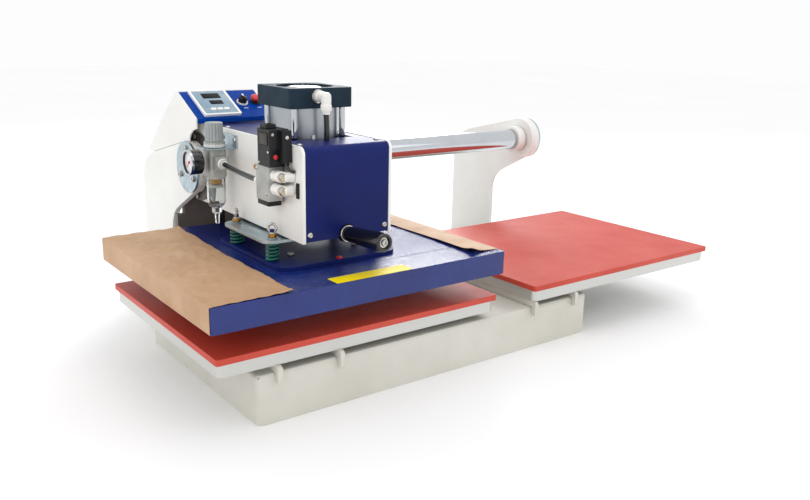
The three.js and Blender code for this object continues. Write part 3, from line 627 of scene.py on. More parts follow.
# Smoked window over an unlit display: near black, with only a faint sheen.
DISPLAY = Finish("smoked_window", "#090a0e", "#101117", Pattern.PLAIN, 6.0, 0.005, 0.5, 0.02, patch=15,
                 specular=0.1)
DIGIT = Finish("unlit_digit", "#2c2226", "#261d21", Pattern.PLAIN, 6.0, 0.005, 0.5, 0.02, patch=15,
               specular=0.1)
DIAL = Finish("dial_white", "#f2f2f4", "#e6e6ea", Pattern.PLAIN, 3.0, 0.005, 0.45, 0.02, patch=15)
LABEL = Finish("vinyl_yellow", "#fbe200", "#f4da00", Pattern.PEEL, 3.0, 0.02, 0.45, 0.05, patch=30,
               specular=0.2)
PRINT = Finish("screen_print_light", "#dfe5ee", "#d0d7e1", Pattern.PLAIN, 3.0, 0.01, 0.5, 0.03, patch=10)
# Glazed kraft paper: long fibres, a slight shine on the crests of its creases.
KRAFT = Finish("kraft_paper", "#c9a17b", "#b48c66", Pattern.FIBRE, 2.2, 0.05, 0.5, 0.08, speckle=0.35,
               patch=70)
FLOOR = Finish("painted_floor", "#ffffff", "#fdfdfd", Pattern.PEEL, 6.0, 0.01, 0.7, 0.05, patch=900,
               specular=0.1)


# ------------------------------------------------------------------ pieces


def mesh_object(name: str, shape: Shape, finish: Finish) -> bpy.types.Object:
    """Puts a shape into the scene as a mesh at the origin, its place in its points, in metres."""
    data = bpy.data.meshes.new(name)
    data.from_pydata((shape.points * MM + DATUM).tolist(), [], shape.faces)
    work = bmesh.new()
    work.from_mesh(data)
    bmesh.ops.remove_doubles(work, verts=work.verts, dist=2e-6)
    bmesh.ops.dissolve_degenerate(work, edges=work.edges, dist=1e-6)
    bmesh.ops.recalc_face_normals(work, faces=work.faces)
    work.to_mesh(data)
    work.free()
    data.materials.append(finish.material())
    made = bpy.data.objects.new(name, data)
    bpy.context.scene.collection.objects.link(made)
    return made


def soften(target: bpy.types.Object, angle: float = 34.0) -> None:
    """Shades a mesh smooth, apart from edges sharper than the angle in degrees."""
    target.data.shade_smooth()
    target.data.set_sharp_from_angle(angle=math.radians(angle))


def make(
    name: str,
    shape: Shape,
    finish: Finish,
    body: str,
    stands_for: tuple[str, ...] = (),
    angle: float = 34.0,
) -> bpy.types.Object:
    """Makes a piece that rides on a body.

    Args:
        name: the piece's name.
        shape: its surface.
        finish: its finish.
        body: the body that it moves with.
        stands_for: the frame's nodes that it is shown in place of.
        angle: edges sharper than this many degrees stay sharp.

    Returns:
        The piece.
    """
    made = mesh_object(name, shape, finish)
    soften(made, angle)
    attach(made, body)
    if stands_for:
        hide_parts(*stands_for)
    LOG.info("piece %s: %d faces on %s", name, len(made.data.polygons), body)
    return made


def dress(node: str, finish: Finish, body: str, edge: float = 0.6, angle: float = 30.0) -> bpy.types.Object:
    """Shows a frame node through a clean copy with softened edges.

    Args:
        node: the frame's node.
        finish: its finish.
        body: the body that it moves with.
        edge: the width in millimetres of the rounding on its edges, 0 for none.
        angle: edges sharper than this many degrees are rounded.

    Returns:
        The copy.
    """
    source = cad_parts[node]
    data = source.data.copy()
    data.materials.clear()
    data.materials.append(finish.material())
    work = bmesh.new()
    work.from_mesh(data)
    bmesh.ops.remove_doubles(work, verts=work.verts, dist=5e-6)
    bmesh.ops.dissolve_limit(
        work, angle_limit=math.radians(0.4), verts=work.verts, edges=work.edges, use_dissolve_boundaries=False
    )
    work.to_mesh(data)
    work.free()
    data.name = node + "_shell"
    made = bpy.data.objects.new(node + "_shell", data)
    bpy.context.scene.collection.objects.link(made)
    soften(made, angle)
    if edge:
        rounding = made.modifiers.new("softened_edges", "BEVEL")
        rounding.width = edge * MM
        rounding.segments = 2
        rounding.limit_method = "ANGLE"
        rounding.angle_limit = math.radians(angle)
        rounding.harden_normals = True
    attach(made, body)
    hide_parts(node)
    LOG.info("dressed %s on %s", node, body)
    return made


@dataclass
class BaseFrame:
    """Folded base, rear beam, shaft with its supports, and the rail behind it."""

    shaft_y: float = 415.0
    shaft_z: float = 297.0
    shaft_radius: float = 22.0
    shaft_ends: tuple[float, float] = (88.3, 907.7)
    flange_screw_circle: float = 32.0

    def build(self) -> None:
        """Builds and dresses all of it."""
        dress("base_shell", CREAM, "base", 0.8)
        dress("rear_frame", CREAM, "base", 0.8)
        dress("support_left", WHITE, "base", 1.0)
        dress("support_right", WHITE, "base", 1.0)
        dress("guide_rail", STEEL, "base", 0.6)
        self.shaft()
        self.screws()

    def shaft(self) -> None:
        """The ground shaft with chamfered ends, and the flanges that close it in."""
        x0, x1 = self.shaft_ends
        r = self.shaft_radius
        profile = [(0, x0), (r - 1.5, x0), (r, x0 + 1.5), (r, x1 - 1.5), (r - 1.5, x1), (0, x1)]
        bar = turned(profile, (0, self.shaft_y, self.shaft_z), ALONG_X, edge=0.3, steps=72)
        make("ground_shaft", bar, CHROME, "base", ("main_shaft",))
        dress("shaft_flange_left", ZINC, "base", 0.5)
        dress("shaft_flange_right", ZINC, "base", 0.5)
        collar_x = 862.0
        collar = [(r + 0.2, 0), (r + 6, 0), (r + 6, 20), (r + 0.2, 20)]
        ring = turned(collar, (collar_x, self.shaft_y, self.shaft_z), ALONG_X, edge=0.8, steps=56)
        make("shaft_collar", ring, WHITE, "base")

    def screws(self) -> None:
        """Screws in both shaft flanges, and the bolts that hold the supports to the beam."""
        left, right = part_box("shaft_flange_left"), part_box("shaft_flange_right")
        faces = [((left[0].x - DATUM[0]) / MM, (-1.0, 0.0, 0.0)), ((right[1].x - DATUM[0]) / MM, ALONG_X)]
        heads = []
        for x, way in faces:
            for k in range(3):
                a = math.pi / 2 + k * 2 * math.pi / 3
                y = self.shaft_y + self.flange_screw_circle * math.cos(a)
                z = self.shaft_z + self.flange_screw_circle * math.sin(a)
                heads.append(screw((x, y, z), way, 5.6, Drive.SOCKET, 4.0))
        make("shaft_flange_screws", together(heads), BRIGHT, "base")
        places = [(x, y) for x in (122.0, 925.0) for y in (556.0, 620.0)]
        bolts = [nut((x, y, 45.6), UP, 8.0, 6.0) for x, y in places]
        bolts += [turned([(0, 0), (11, 0), (11, 1.4), (0, 1.4)], (x, y, 44.35), UP) for x, y in places]
        make("support_bolts", together(bolts), ZINC, "base")


@dataclass
class WorkStations:
    """The two cast platens with their silicone pads, on hooked bars across the base."""

    def build(self) -> None:
        """Dresses both stations."""
        for side in ("left", "right"):
            dress(f"carrier_{side}", CREAM, "base", 0.8)
            dress(f"lower_platen_{side}", CASTING, "base", 0.9)
            dress(f"silicone_pad_{side}", SILICONE, "base", 0.8)


@dataclass
class ControlBox:
    """Sloping control box: folded case, blue panel, temperature and time controller, knob and stop button."""

    left: float = 88.0
    front: float = 376.0
    foot: float = 384.0
    head_y: float = 457.0
    head_z: float = 424.5

    def matrix(self) -> np.ndarray:
        """The panel's own directions as columns: across it, up its slope, and out of its face."""
        slope = math.atan2(self.head_z - self.foot, self.head_y - self.front)
        c, s = math.cos(slope), math.sin(slope)
        return np.array([[1, 0, 0], [0, c, -s], [0, s, c]])

    def on_panel(self, shape: Shape) -> Shape:
        """A shape drawn on the panel, put in its place."""
        return shape.mapped(self.matrix(), (self.left, self.front, self.foot))

    def build(self) -> None:
        """Builds and dresses all of it."""
        dress("control_box", WHITE, "base", 0.8)
        dress("mains_gland", BLACK, "base", 0.5)
        dress("control_panel", NAVY_PANEL, "base", 0.3)
        dress("controller", KEY_WHITE, "base", 0.6)
        for k in (1, 2, 3):
            dress(f"controller_key_{k}", KEY_WHITE, f"key_{k}", 0.5)
        self.controller_face()
        self.knob_and_button()

    def controller_face(self) -> None:
        """The grey-blue membrane and its two smoked windows with unlit digits."""
        low, high = 4.25, 4.55
        fields = [
            ((21.6, 24.0), (81.4, 78.4)), ((21.6, 8.1), (81.4, 15.4)), ((21.6, 15.4), (34.0, 24.0)),
            ((69.0, 15.4), (81.4, 24.0)), ((44.7, 15.4), (46.3, 24.0)), ((56.7, 15.4), (58.3, 24.0)),
        ]
        membrane = together([block((*near, low), (*far, high), 0.1, 0.04) for near, far in fields])
        make("controller_membrane", self.on_panel(membrane), FACE_GREY, "base")
        make("controller_windows", self.on_panel(
            block((35.5, 55.0, 4.4), (68.5, 71.0, 5.0), 1.0, 0.2)
            + block((42.0, 36.0, 4.4), (66.0, 48.0, 5.0), 1.0, 0.2)
        ), DISPLAY, "base")
        digits = [self.digit(38.5 + 7.4 * k, 57.5, 4.8, 11.0) for k in range(4)]
        digits += [self.digit(44.6 + 5.4 * k, 37.8, 3.4, 8.4) for k in range(4)]
        make("controller_digits", self.on_panel(together(digits)), DIGIT, "base")

    def digit(self, x: float, y: float, width: float, height: float) -> Shape:
        """One figure eight of an unlit seven-bar display."""
        t = 0.7
        half = height / 2
        bars = [block((x + t, y + k * (half - t / 2), 4.95),
                      (x + width - t, y + k * (half - t / 2) + t, 5.08), 0.2, 0.03)
                for k in range(3)]
        bars += [block((x + i * (width - t), y + j * half + t / 2, 4.95),
                       (x + i * (width - t) + t, y + (j + 1) * half - t / 2, 5.08), 0.2, 0.03)
                 for i in (0, 1) for j in (0, 1)]
        return together(bars)

    def knob_and_button(self) -> None:
        """The selector knob on its pale ring, and the red mushroom on its black collar."""
        knob = turned([(0, 2.9), (7.6, 2.9), (7.2, 10.5), (6.6, 11.2), (0, 11.2)], (105.0, 44.5, 0.0), UP,
                      0.6, 48, 24, 0.25)
        handle = block((103.2, 37.6, 10.2), (106.8, 51.4, 14.0), 1.6, 0.8)
        stem = turned([(0, -6), (3, -6), (3, 3), (0, 3)], (105.0, 44.5, 0.0))
        make("selector_knob_cap", self.on_panel(knob + handle + stem), BLACK, "selector", ("selector_knob",))
        mark = block((103.4, 45.5, 13.8), (106.6, 51.2, 14.2), 1.2, 0.1)
        make("selector_mark", self.on_panel(mark), IVORY, "selector")
        ring = turned([(7.9, 0.1), (10.2, 0.1), (9.8, 2.6), (7.9, 2.6)], (105.0, 44.5, 0.0), UP, 0.4, 48)
        make("selector_ring", self.on_panel(ring), IVORY, "base")
        cap = [(0, -8), (4.4, -8), (4.4, 7), (9.6, 7.2), (9.9, 8.4), (9.2, 10.2), (6.0, 12.2), (0, 12.8)]
        make("stop_button_cap", self.on_panel(turned(cap, (131.3, 46.0, 0.0), UP, 0.7, 48)), RED, "stop",
             ("stop_button",))
        collar = turned([(5.2, 0.1), (10.6, 0.1), (10.2, 2.4), (7.2, 2.8), (5.2, 2.8)], (131.3, 46.0, 0.0),
                        UP, 0.4, 48)
        make("stop_button_collar", self.on_panel(collar), BLACK, "base")
        marks = [block((x - 4, 26.0, 0.02), (x + 4, 27.6, 0.12), 0.2, 0.03) for x in (105.0, 131.3)]
        make("panel_marks", self.on_panel(together(marks)), PRINT, "base")


@dataclass
class SlidingHead:
    """The head that slides on the shaft: cheeks, bearings, guide arm, cylinder bracket and blue cover."""

    shaft_y: float = 415.0
    shaft_z: float = 297.0
    left: float = 102.8
    right: float = 268.2
    screw_circle: float = 52.5

    def build(self) -> None:
        """Builds and dresses all of it."""
        dress("head_plate_left", WHITE, "carriage", 0.9)
        dress("head_plate_right", WHITE, "carriage", 0.9)
        dress("bearing_housing", STEEL, "carriage", 0.5)
        dress("guide_arm", ARM_STEEL, "carriage", 0.6)
        # Painted shade: a black sheet 0.4 mm thick laid on the front of the arm where a dark band of shadow
        # falls.
        make("guide_arm_painted_shade_strip", block((168.0, 476.5, 90.0), (180.0, 476.9, 236.0), 0.3, 0.05), BLACK,
             "carriage")
        dress("guide_roller_front", STEEL, "roller_front", 0.5)
        dress("guide_roller_rear", STEEL, "roller_rear", 0.5)
        dress("cylinder_bracket", STEEL, "carriage", 0.5)
        dress("front_cover", NAVY_SMOOTH, "carriage", 0.35)
        dress("flanged_bearing_left", STEEL, "carriage", 0.8)
        dress("flanged_bearing_right", STEEL, "carriage", 0.8)
        self.flange_screws()
        self.cover_screws()

    def flange_screws(self) -> None:
        """Six socket screws in each bearing flange."""
        heads = []
        for x, way in ((self.left, (-1.0, 0.0, 0.0)), (self.right, ALONG_X)):
            for k in range(6):
                a = math.radians(30 + 60 * k)
                y = self.shaft_y + self.screw_circle * math.cos(a)
                z = self.shaft_z + self.screw_circle * math.sin(a)
                heads.append(screw((x, y, z), way, 4.6, Drive.SOCKET, 3.4))
        make("bearing_flange_screws", together(heads), BRIGHT, "carriage")

    def cover_screws(self) -> None:
        """Cross-head screws low on the front of the cover and along the edges of its top."""
        front = [screw((x, 57.7, 246.0), FORWARD, 4.6) for x in (119.5, 251.0)]
        top = [screw((x, y, 374.1), UP, 4.2) for x in (119.0, 252.0) for y in (84.0, 320.0)]
        make("cover_screws", together(front + top), BRIGHT, "carriage")


@dataclass
class AirCylinder:
    """Tie-rod cylinder on the head: square caps, round barrel, four rods, elbow and air line."""

    x: float = 185.5
    y: float = 184.0
    rod_pitch: float = 42.0

    def build(self) -> None:
        """Builds and dresses all of it."""
        dress("cylinder_end_lower", SLATE, "carriage", 0.9)
        dress("cylinder_end_upper", SLATE, "carriage", 0.9)
        dress("cylinder_barrel", BARREL, "carriage", 0.3)
        dress("piston_rod", CHROME, "press", 0.5)
        disc = turned([(0, 446.2), (26, 446.2), (26.2, 447.6), (24, 448.6), (0, 448.6)],
                      (self.x, self.y, 0.0), UP, 0.3, 64)
        make("cylinder_end_disc", disc, MILLED, "carriage")
        corners = [(self.x + i * self.rod_pitch, self.y + j * self.rod_pitch) for i in (-1, 1)
                   for j in (-1, 1)]
        rods = [turned([(0, 364.2), (5, 364.2), (5, 419.8), (0, 419.8)], (cx, cy, 0.0), UP, 0.1, 28)
                for cx, cy in corners]
        make("tie_rods", together(rods), CHROME, "carriage")
        self.air_line()

    def air_line(self) -> None:
        """White quick-connect elbow on the front of the upper cap, and its black hose down into the cover."""
        x, y, z, face = 177.0, 106.0, 438.0, 129.0
        hub = turned([(0, -24), (7.2, -24), (7.8, -18), (7.8, -9), (8.8, -8.5), (8.8, -2), (7, 0), (0, 0)],
                     (x, face - 0.3, z), ALONG_Y, 0.7, 40)
        knuckle = turned([(0, 7.5), (5, 7.0), (7.6, 3.0), (7.8, -6), (7.2, -10), (8.4, -11), (8.4, -17),
                          (7.4, -21), (4.4, -21.5), (0, -21.5)], (x, y, z), UP, 1.4, 40)
        collet = turned([(0, -25), (5.2, -25), (6.0, -24), (6.0, -21), (0, -21)], (x, y, z), UP, 0.5, 32)
        make("cylinder_elbow", hub + knuckle + collet, IVORY, "carriage", ("air_line_cylinder",))
        washer = turned([(0, -1.2), (10.5, -1.2), (10.5, 0), (0, 0)], (x, face - 0.1, z), ALONG_Y, 0.3, 40)
        make("cylinder_elbow_washer", washer, BRIGHT, "carriage")
        drop = np.linspace(0, 1, 14)[:, None]
        path = np.hstack([x + 1.6 * np.sin(np.pi * drop), y + 2.0 * drop, z - 24 + (350.0 - z + 24) * drop])
        make("cylinder_hose", swept(path, ring_section(4.2, 16), ALONG_X), RUBBER, "carriage")
        tag = block((168.0, 131.3, 372.0), (173.0, 131.7, 380.0), 0.4, 0.1)
        make("barrel_tag", tag, IVORY, "carriage")


@dataclass
class SideHandle:
    """Turning grip on a bolt at the foot of the cover, tilted up a little."""

    root: tuple[float, float, float] = (183.5, 57.0, 241.0)
    tilt: float = 4.0
    length: float = 93.0

    def axis(self) -> tuple[float, float, float]:
        """The direction from the root to the free end."""
        t = math.radians(self.tilt)
        return (0.0, -math.cos(t), math.sin(t))

    def build(self) -> None:
        """Builds the grip, its boss and its end bolt."""
        end = 4 + self.length
        grip = [(5.4, 4), (10.6, 4), (11.6, 5.5), (12.0, 20), (13.4, 52), (13.9, 84), (13.6, end - 3),
                (12.0, end), (9.2, end), (8.5, end - 1), (8.5, end - 4.8), (5.4, end - 4.8)]
        make("handle_grip_shell", turned(grip, self.root, self.axis(), 1.0, 56), GRIP_BLACK, "grip",
             ("handle_grip",))
        boss = [(0, -8), (13.4, -8), (13.4, 1.6), (12.6, 3.2), (5, 3.2), (5, end - 5), (7.8, end - 5),
                (7.8, end - 3.4), (4.9, end - 3.4), (4.9, end - 0.6), (4.4, end), (2.4, end),
                (2.4, end - 2.2), (0, end - 2.2)]
        make("handle_bolt_shell", turned(boss, self.root, self.axis(), 0.4, 48), BRIGHT, "carriage",
             ("handle_bolt",))


@dataclass
class FilterRegulator:
    """Filter-regulator: ribbed knob, die-cast body, clear bowl with its brass filter, gauge and bracket."""

    x: float = 80.0
    y: float = 288.0
    gauge_z: float = 327.0
    gauge_face: float = 33.0

    def build(self) -> None:
        """Builds and dresses all of it."""
        at = (self.x, self.y, 0.0)
        dress("regulator_body", DIE_CAST, "carriage", 0.7)
        dress("regulator_bracket", ZINC, "carriage", 0.5)
        knob = [(0, 358), (14.4, 358), (14.8, 361.8), (14.6, 362.4), (14.2, 386.5), (13.2, 388), (0, 388)]
        make("regulator_knob_ribbed", turned(knob, at, UP, 0.5, 160, 16, 1.5), GREY, "knob",
             ("regulator_knob",))
        collar = [(0, 349), (16.8, 349), (17.2, 350.4), (16.6, 357.4), (14, 357.7), (0, 357.7)]
        make("regulator_collar", turned(collar, at, UP, 0.5, 56), PALE_GREY, "carriage")
        joint = [(0, 348.4), (15.6, 348.4), (15.6, 349.2), (0, 349.2)]
        make("regulator_joint", turned(joint, at, UP, 0.1, 48), BLACK, "carriage")
        self.bowl(at)
        self.gauge()
        self.outlet()
        screws = [screw((105.0, self.y + d, 361.0), (-1.0, 0.0, 0.0), 4.6) for d in (-21.5, 21.5)]
        make("regulator_bracket_screws", together(screws), BRIGHT, "carriage")

    def bowl(self, at: tuple[float, float, float]) -> None:
        """The clear bowl with a rounded floor, the filter inside it, the ring above and the drain below."""
        wall = [(0, 250.5), (9, 250.5), (13.0, 254.5), (15.0, 261), (15.2, 301.5), (13.4, 301.5), (13.2, 262),
                (11.4, 257), (7, 253.6), (0, 253.6)]
        make("regulator_bowl_clear", turned(wall, at, UP, 1.6, 56), BOWL, "carriage", ("regulator_bowl",))
        ring = [(13.5, 298.5), (16.2, 298.5), (16.4, 301.9), (13.5, 301.9)]
        make("regulator_bowl_ring", turned(ring, at, UP, 0.4, 48), DIE_CAST, "carriage")
        core = [(0, 288.5), (9.4, 288.5), (9.8, 289.5), (9.8, 301.4), (0, 301.4)]
        make("regulator_filter", turned(core, at, UP, 0.5, 40, 20, 0.4), BRASS, "carriage")
        baffle = [(0, 284), (12.2, 284), (12.4, 285.2), (9, 287.6), (0, 288)]
        make("regulator_baffle", turned(baffle, at, UP, 0.4, 40), IVORY, "carriage")
        cone = [(0, 259), (2.2, 259), (5.2, 283.8), (0, 283.8)]
        make("regulator_quiet_cone", turned(cone, (self.x - 5.0, self.y, 0.0), UP, 0.3, 28), GREY, "carriage")
        drain = [(0, 223), (3.2, 223), (3.6, 232), (4.4, 240.5), (8, 241), (8.2, 250), (0, 250.2)]
        make("regulator_drain", turned(drain, at, UP, 0.5, 32, 12, 0.5), BOWL, "carriage")

    def gauge(self) -> None:
        """The gauge: black case, bright bezel, white dial with its scale, and the pointer."""
        x, y, z = self.gauge_face, self.y, self.gauge_z
        back = (-1.0, 0.0, 0.0)
        case = [(0, -26.6), (6, -26.6), (6, -21), (18.6, -21), (19.6, -20), (19.6, 0), (17.4, 0),
                (17.4, -4.4), (0, -4.4)]
        make("gauge_case", turned(case, (x, y, z), back, 0.4, 64), GRIP_BLACK, "carriage",
             ("pressure_gauge",))
        bezel = [(17.6, -2.5), (17.6, 0.6), (19.9, 0.6), (20.1, -3.5), (19.7, -3.5), (19.7, -2.5)]
        make("gauge_bezel", turned(bezel, (x, y, z), back, 0.3, 64), CHROME, "carriage")
        dial = turned([(0, -4.3), (17.3, -4.3), (17.3, -3.6), (0, -3.6)], (x, y, z), back, 0.05, 64)
        make("gauge_dial", dial, DIAL, "carriage")
        ticks = []
        for k in range(21):
            a = math.radians(225 - 13.5 * k)
            inner, outer = (12.4 if k % 5 == 0 else 13.8), 15.6
            mark = block((-0.1, inner, 0.0), (0.1, outer, 0.08), 0.05, 0.02)
            turn = np.array([[0, 0, -1.0], [math.sin(a), -math.cos(a), 0], [math.cos(a), math.sin(a), 0]])
            ticks.append(mark.mapped(turn, (x + 3.55, y, z)))
        make("gauge_scale", together(ticks), BLACK, "carriage")
        needle = turned([(0, 0), (2.4, 0), (2.0, 1.3), (0, 1.5)], (x + 2.9, y, z), back, 0.2, 24)
        lean = math.sqrt(0.5)
        path = np.array([[x + 2.4, y - 4 * lean, z + 4 * lean], [x + 2.4, y + 13 * lean, z - 13 * lean]])
        arm = swept(np.linspace(path[0], path[1], 6), ring_section(0.42, 8), ALONG_X)
        make("gauge_needle", needle + arm, RED, "pointer", ("gauge_pointer",))

    def outlet(self) -> None:
        """The push-in fitting on the outlet and the black air line across to the valve."""
        face = (self.x, self.y - 27.2, 325.0)
        fitting = [(0, 0), (8.4, 0), (8.4, 2.4), (7.4, 3.2), (7.4, 6.2), (5.4, 7.2), (0, 7.2)]
        make("regulator_outlet", turned(fitting, face, FORWARD, 0.6, 40), IVORY, "carriage")
        port = block((self.x - 11.3, self.y - 27.4, 314.7), (self.x + 11.3, self.y - 25.6, 336.3), 1.5, 0.5)
        make("regulator_port_face", port, DIE_CAST, "carriage")
        along = np.linspace(0, 1, 28)[:, None]
        start, finish = np.array([80.0, 254.6, 325.0]), np.array([84.0, 152.0, 317.0])
        sag = np.array([0.6, 0.0, -1.6])
        path = start + (finish - start) * along + sag * np.sin(np.pi * along)
        make("air_line_hose", swept(path, ring_section(4.0, 18), ALONG_X), RUBBER, "carriage",
             ("air_tube_valve",))


@dataclass
class SolenoidValve:
    """Solenoid valve: block with its fittings, black pilot and coil, red override button and cable."""

    def build(self) -> None:
        """Builds and dresses all of it."""
        dress("valve_coil", BLACK, "carriage", 0.7)
        cheek = 107.2
        body = block((78.5, 106.0, 291.2), (103.2, 144.0, 343.0), 2.0, 0.8)
        pad = block((102.6, 111.5, 303.5), (cheek, 138.5, 340.5), 1.5, 0.5)
        make("valve_block", body + pad, DIE_CAST, "carriage", ("valve_body",))
        make("valve_foot", block((79.6, 108.4, 283.8), (102.4, 143.2, 291.0), 2.5, 0.8), BLACK, "carriage")
        make("valve_gasket", block((105.6, 66.0, 300.0), (cheek, 72.5, 322.0), 2.0, 0.4), BLACK, "carriage")
        self.fittings()
        self.small_parts()

    def fittings(self) -> None:
        """Two push-in elbows at the front, each with a slotted plug, their barrels turned to the cheek."""
        shells, plugs, slots = [], [], []
        for z in (330.0, 310.0):
            shells.append(turned([(0, 0), (8.6, 0), (8.8, 3), (7.6, 4), (7.6, 8), (8.4, 9), (8.4, 18),
                                  (7.0, 19.5), (0, 19.5)], (90.0, 106.0, z), FORWARD, 0.6, 40))
            shells.append(turned([(0, 0), (7.6, 0), (8.2, 3), (7.4, 4), (7.4, 11), (8.2, 12), (8.2, 17),
                                  (0, 17)],
                                 (90.0, 84.0, z), ALONG_X, 0.5, 36))
            plugs.append(turned([(0, 0), (7.0, 0), (7.2, 7.0), (6.4, 8.4), (0, 8.4)], (90.0, 86.6, z),
                                FORWARD, 0.5, 6))
            slots.append(turned([(0, 0), (5.2, 0), (5.2, 0.5), (1.6, 0.6), (1.6, 0.1), (0, 0.1)],
                                (90.0, 78.2, z), FORWARD, 0.1, 28))
        make("valve_fittings", together(shells), IVORY, "carriage")
        make("valve_plugs", together(plugs), BRIGHT, "carriage", angle=20)
        make("valve_plug_faces", together(slots), PALE_BRASS, "carriage")

    def small_parts(self) -> None:
        """The override button, screws, the sintered silencer, the coil's connector and its cable."""
        button = turned([(0, -3.8), (3.5, -3.8), (3.5, 2.0), (2.9, 2.4), (0, 2.4)], (85.0, 95.0, 358.0),
                        FORWARD, 0.3, 28)
        make("override_button", button, RED, "override", ("valve_override",))
        collar = turned([(3.9, 0), (5.6, 0), (5.6, 0.9), (3.9, 1.1)], (85.0, 95.0, 358.0), FORWARD, 0.2, 32)
        make("override_collar", collar, BLACK, "carriage")
        heads = [screw((78.4, y, z), (-1.0, 0.0, 0.0), 3.0) for y, z in ((111.0, 303.0), (139.0, 337.5))]
        heads += [screw((98.0, 105.9, z), FORWARD, 2.6) for z in (297.0, 302.0)]
        heads += [screw((80.5, 92.9, 390.0), FORWARD, 2.4), screw((98.7, 83.9, 386.0), FORWARD, 3.0)]
        heads += [screw((75.9, y, z), (-1.0, 0.0, 0.0), 2.2) for y, z in ((99.0, 365.0), (127.0, 347.5))]
        make("valve_screws", together(heads), BRIGHT, "carriage")
        silencer = turned([(0, 0), (5.8, 0), (5.8, 3), (4.6, 3.6), (4.6, 12.5), (3.6, 14), (0, 14)],
                          (86.0, 144.1, 336.0), ALONG_Y, 0.5, 32, 16, 0.3)
        make("valve_silencer", silencer, BRASS, "carriage")
        inlet = turned([(0, 0), (6.0, 0), (6.2, 4), (5.2, 5), (5.2, 8), (0, 8)], (84.0, 143.8, 317.0),
                       ALONG_Y, 0.4, 32)
        make("valve_inlet", inlet, IVORY, "carriage")
        plug = block((77.5, 106.5, 397.1), (94.5, 126.5, 400.4), 2.0, 0.6)
        socket = block((80.5, 110.0, 400.2), (91.5, 122.0, 403.0), 1.5, 0.6)
        make("coil_connector", plug + socket, BLACK, "carriage")
        plate = block((74.7, 98.0, 374.5), (75.0, 124.0, 391.5), 1.0, 0.1)
        make("coil_plate", plate, STEEL, "carriage")
        t = np.linspace(0, 1, 30)
        knots = np.array([[98.5, 88.6, 353.0], [98.5, 88.4, 346.5], [99.6, 84.0, 341.5], [102.2, 78.6, 338.6],
                          [106.4, 76.6, 337.4]])
        s = np.linspace(0, 1, len(knots))
        line = np.stack([np.interp(t, s, knots[:, k]) for k in range(3)], axis=1)
        kernel = np.array([0.25, 0.5, 0.25])
        padded = np.pad(line, ((2, 2), (0, 0)), mode="edge")
        smooth = np.stack([np.convolve(np.convolve(padded[:, k], kernel, "valid"), kernel, "valid")
                           for k in range(3)], axis=1)
        make("coil_cable_sheath", swept(smooth, ring_section(2.4, 14), ALONG_X), RUBBER, "carriage",
             ("coil_cable",))


@dataclass
class PressHead:
    """Press plate, four lacquered springs on their studs, and the eyebolts that retain them."""

    x: float = 185.5
    y: float = 184.0
    dx: float = 92.5
    dy: float = 60.0
    seat: float = 198.3
    top: float = 226.2
    turns: float = 5.4

    def studs(self) -> list[tuple[float, float]]:
        """Where the four studs stand."""
        return [(self.x + i * self.dx, self.y + j * self.dy) for j in (-1, 1) for i in (-1, 1)]

    def build(self) -> None:
        """Builds and dresses all of it."""
        dress("press_plate", ZINC, "press", 0.6)
        for k, (x, y) in enumerate(self.studs(), start=1):
            self.spring(k, x, y)
        self.eyebolts()

    def spring(self, k: int, x: float, y: float) -> None:
        """One die spring.

        A flat wire is carried along (r cos a, r sin a, h(a)), where the height h stays level over the first
        and last half turn and climbs evenly between them, so that both ends are closed and square.
        """
        wire_high, wire_wide, radius = 3.4, 4.2, 8.8
        a = np.linspace(0, 2 * np.pi * self.turns, 220)
        climb = np.clip((a - np.pi * 0.9) / (a[-1] - 1.8 * np.pi), 0, 1)
        low, high = self.seat + wire_high / 2, self.top - wire_high / 2
        path = np.stack([x + radius * np.cos(a), y + radius * np.sin(a), low + (high - low) * climb], axis=1)
        section = box_outline(wire_wide, wire_high, 0.8, 3)
        coil = swept(path, section, UP)
        made = make(f"die_spring_{k}", coil, SPRING, "platen", (f"press_spring_{k}",))
        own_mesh(made)

    def eyebolts(self) -> None:
        """A brass nut and a bright eye on each stud."""
        nuts, eyes, washers = [], [], []
        for x, y in self.studs():
            washers.append(turned([(0, 231.7), (8.8, 231.7), (8.8, 233.1), (0, 233.1)], (x, y, 0.0), UP, 0.3,
                                  32))
            nuts.append(nut((x, y, 233.1), UP, 6.8, 5.6))
            t = np.linspace(0, 2 * np.pi, 41)[:-1]
            facing = np.radians(35.0 if y < self.y else -50.0)
            wide = np.array([np.cos(facing), -np.sin(facing), 0.0])
            out = np.cos(t)[:, None] * wide + np.sin(t)[:, None] * np.array(UP)
            ring = np.array([x, y, 247.6]) + 6.2 * out
            section = ring_section(2.2, 12)
            grid = (ring[:, None] + section[None, :, :1] * out[:, None]
                    + section[None, :, 1:] * np.cross(wide, UP))
            eyes.append(sheet_of_quads(grid, close_rows=True, close_columns=True))
            eyes.append(turned([(0, 238.6), (4.4, 238.6), (4.4, 240), (3.4, 242), (0, 242)], (x, y, 0.0), UP,
                               0.4, 24))
        make("stud_nuts", together(nuts), BRASS, "platen", angle=20)
        make("stud_washers", together(washers), ZINC, "platen")
        make("stud_eyes", together(eyes), BRIGHT, "platen")


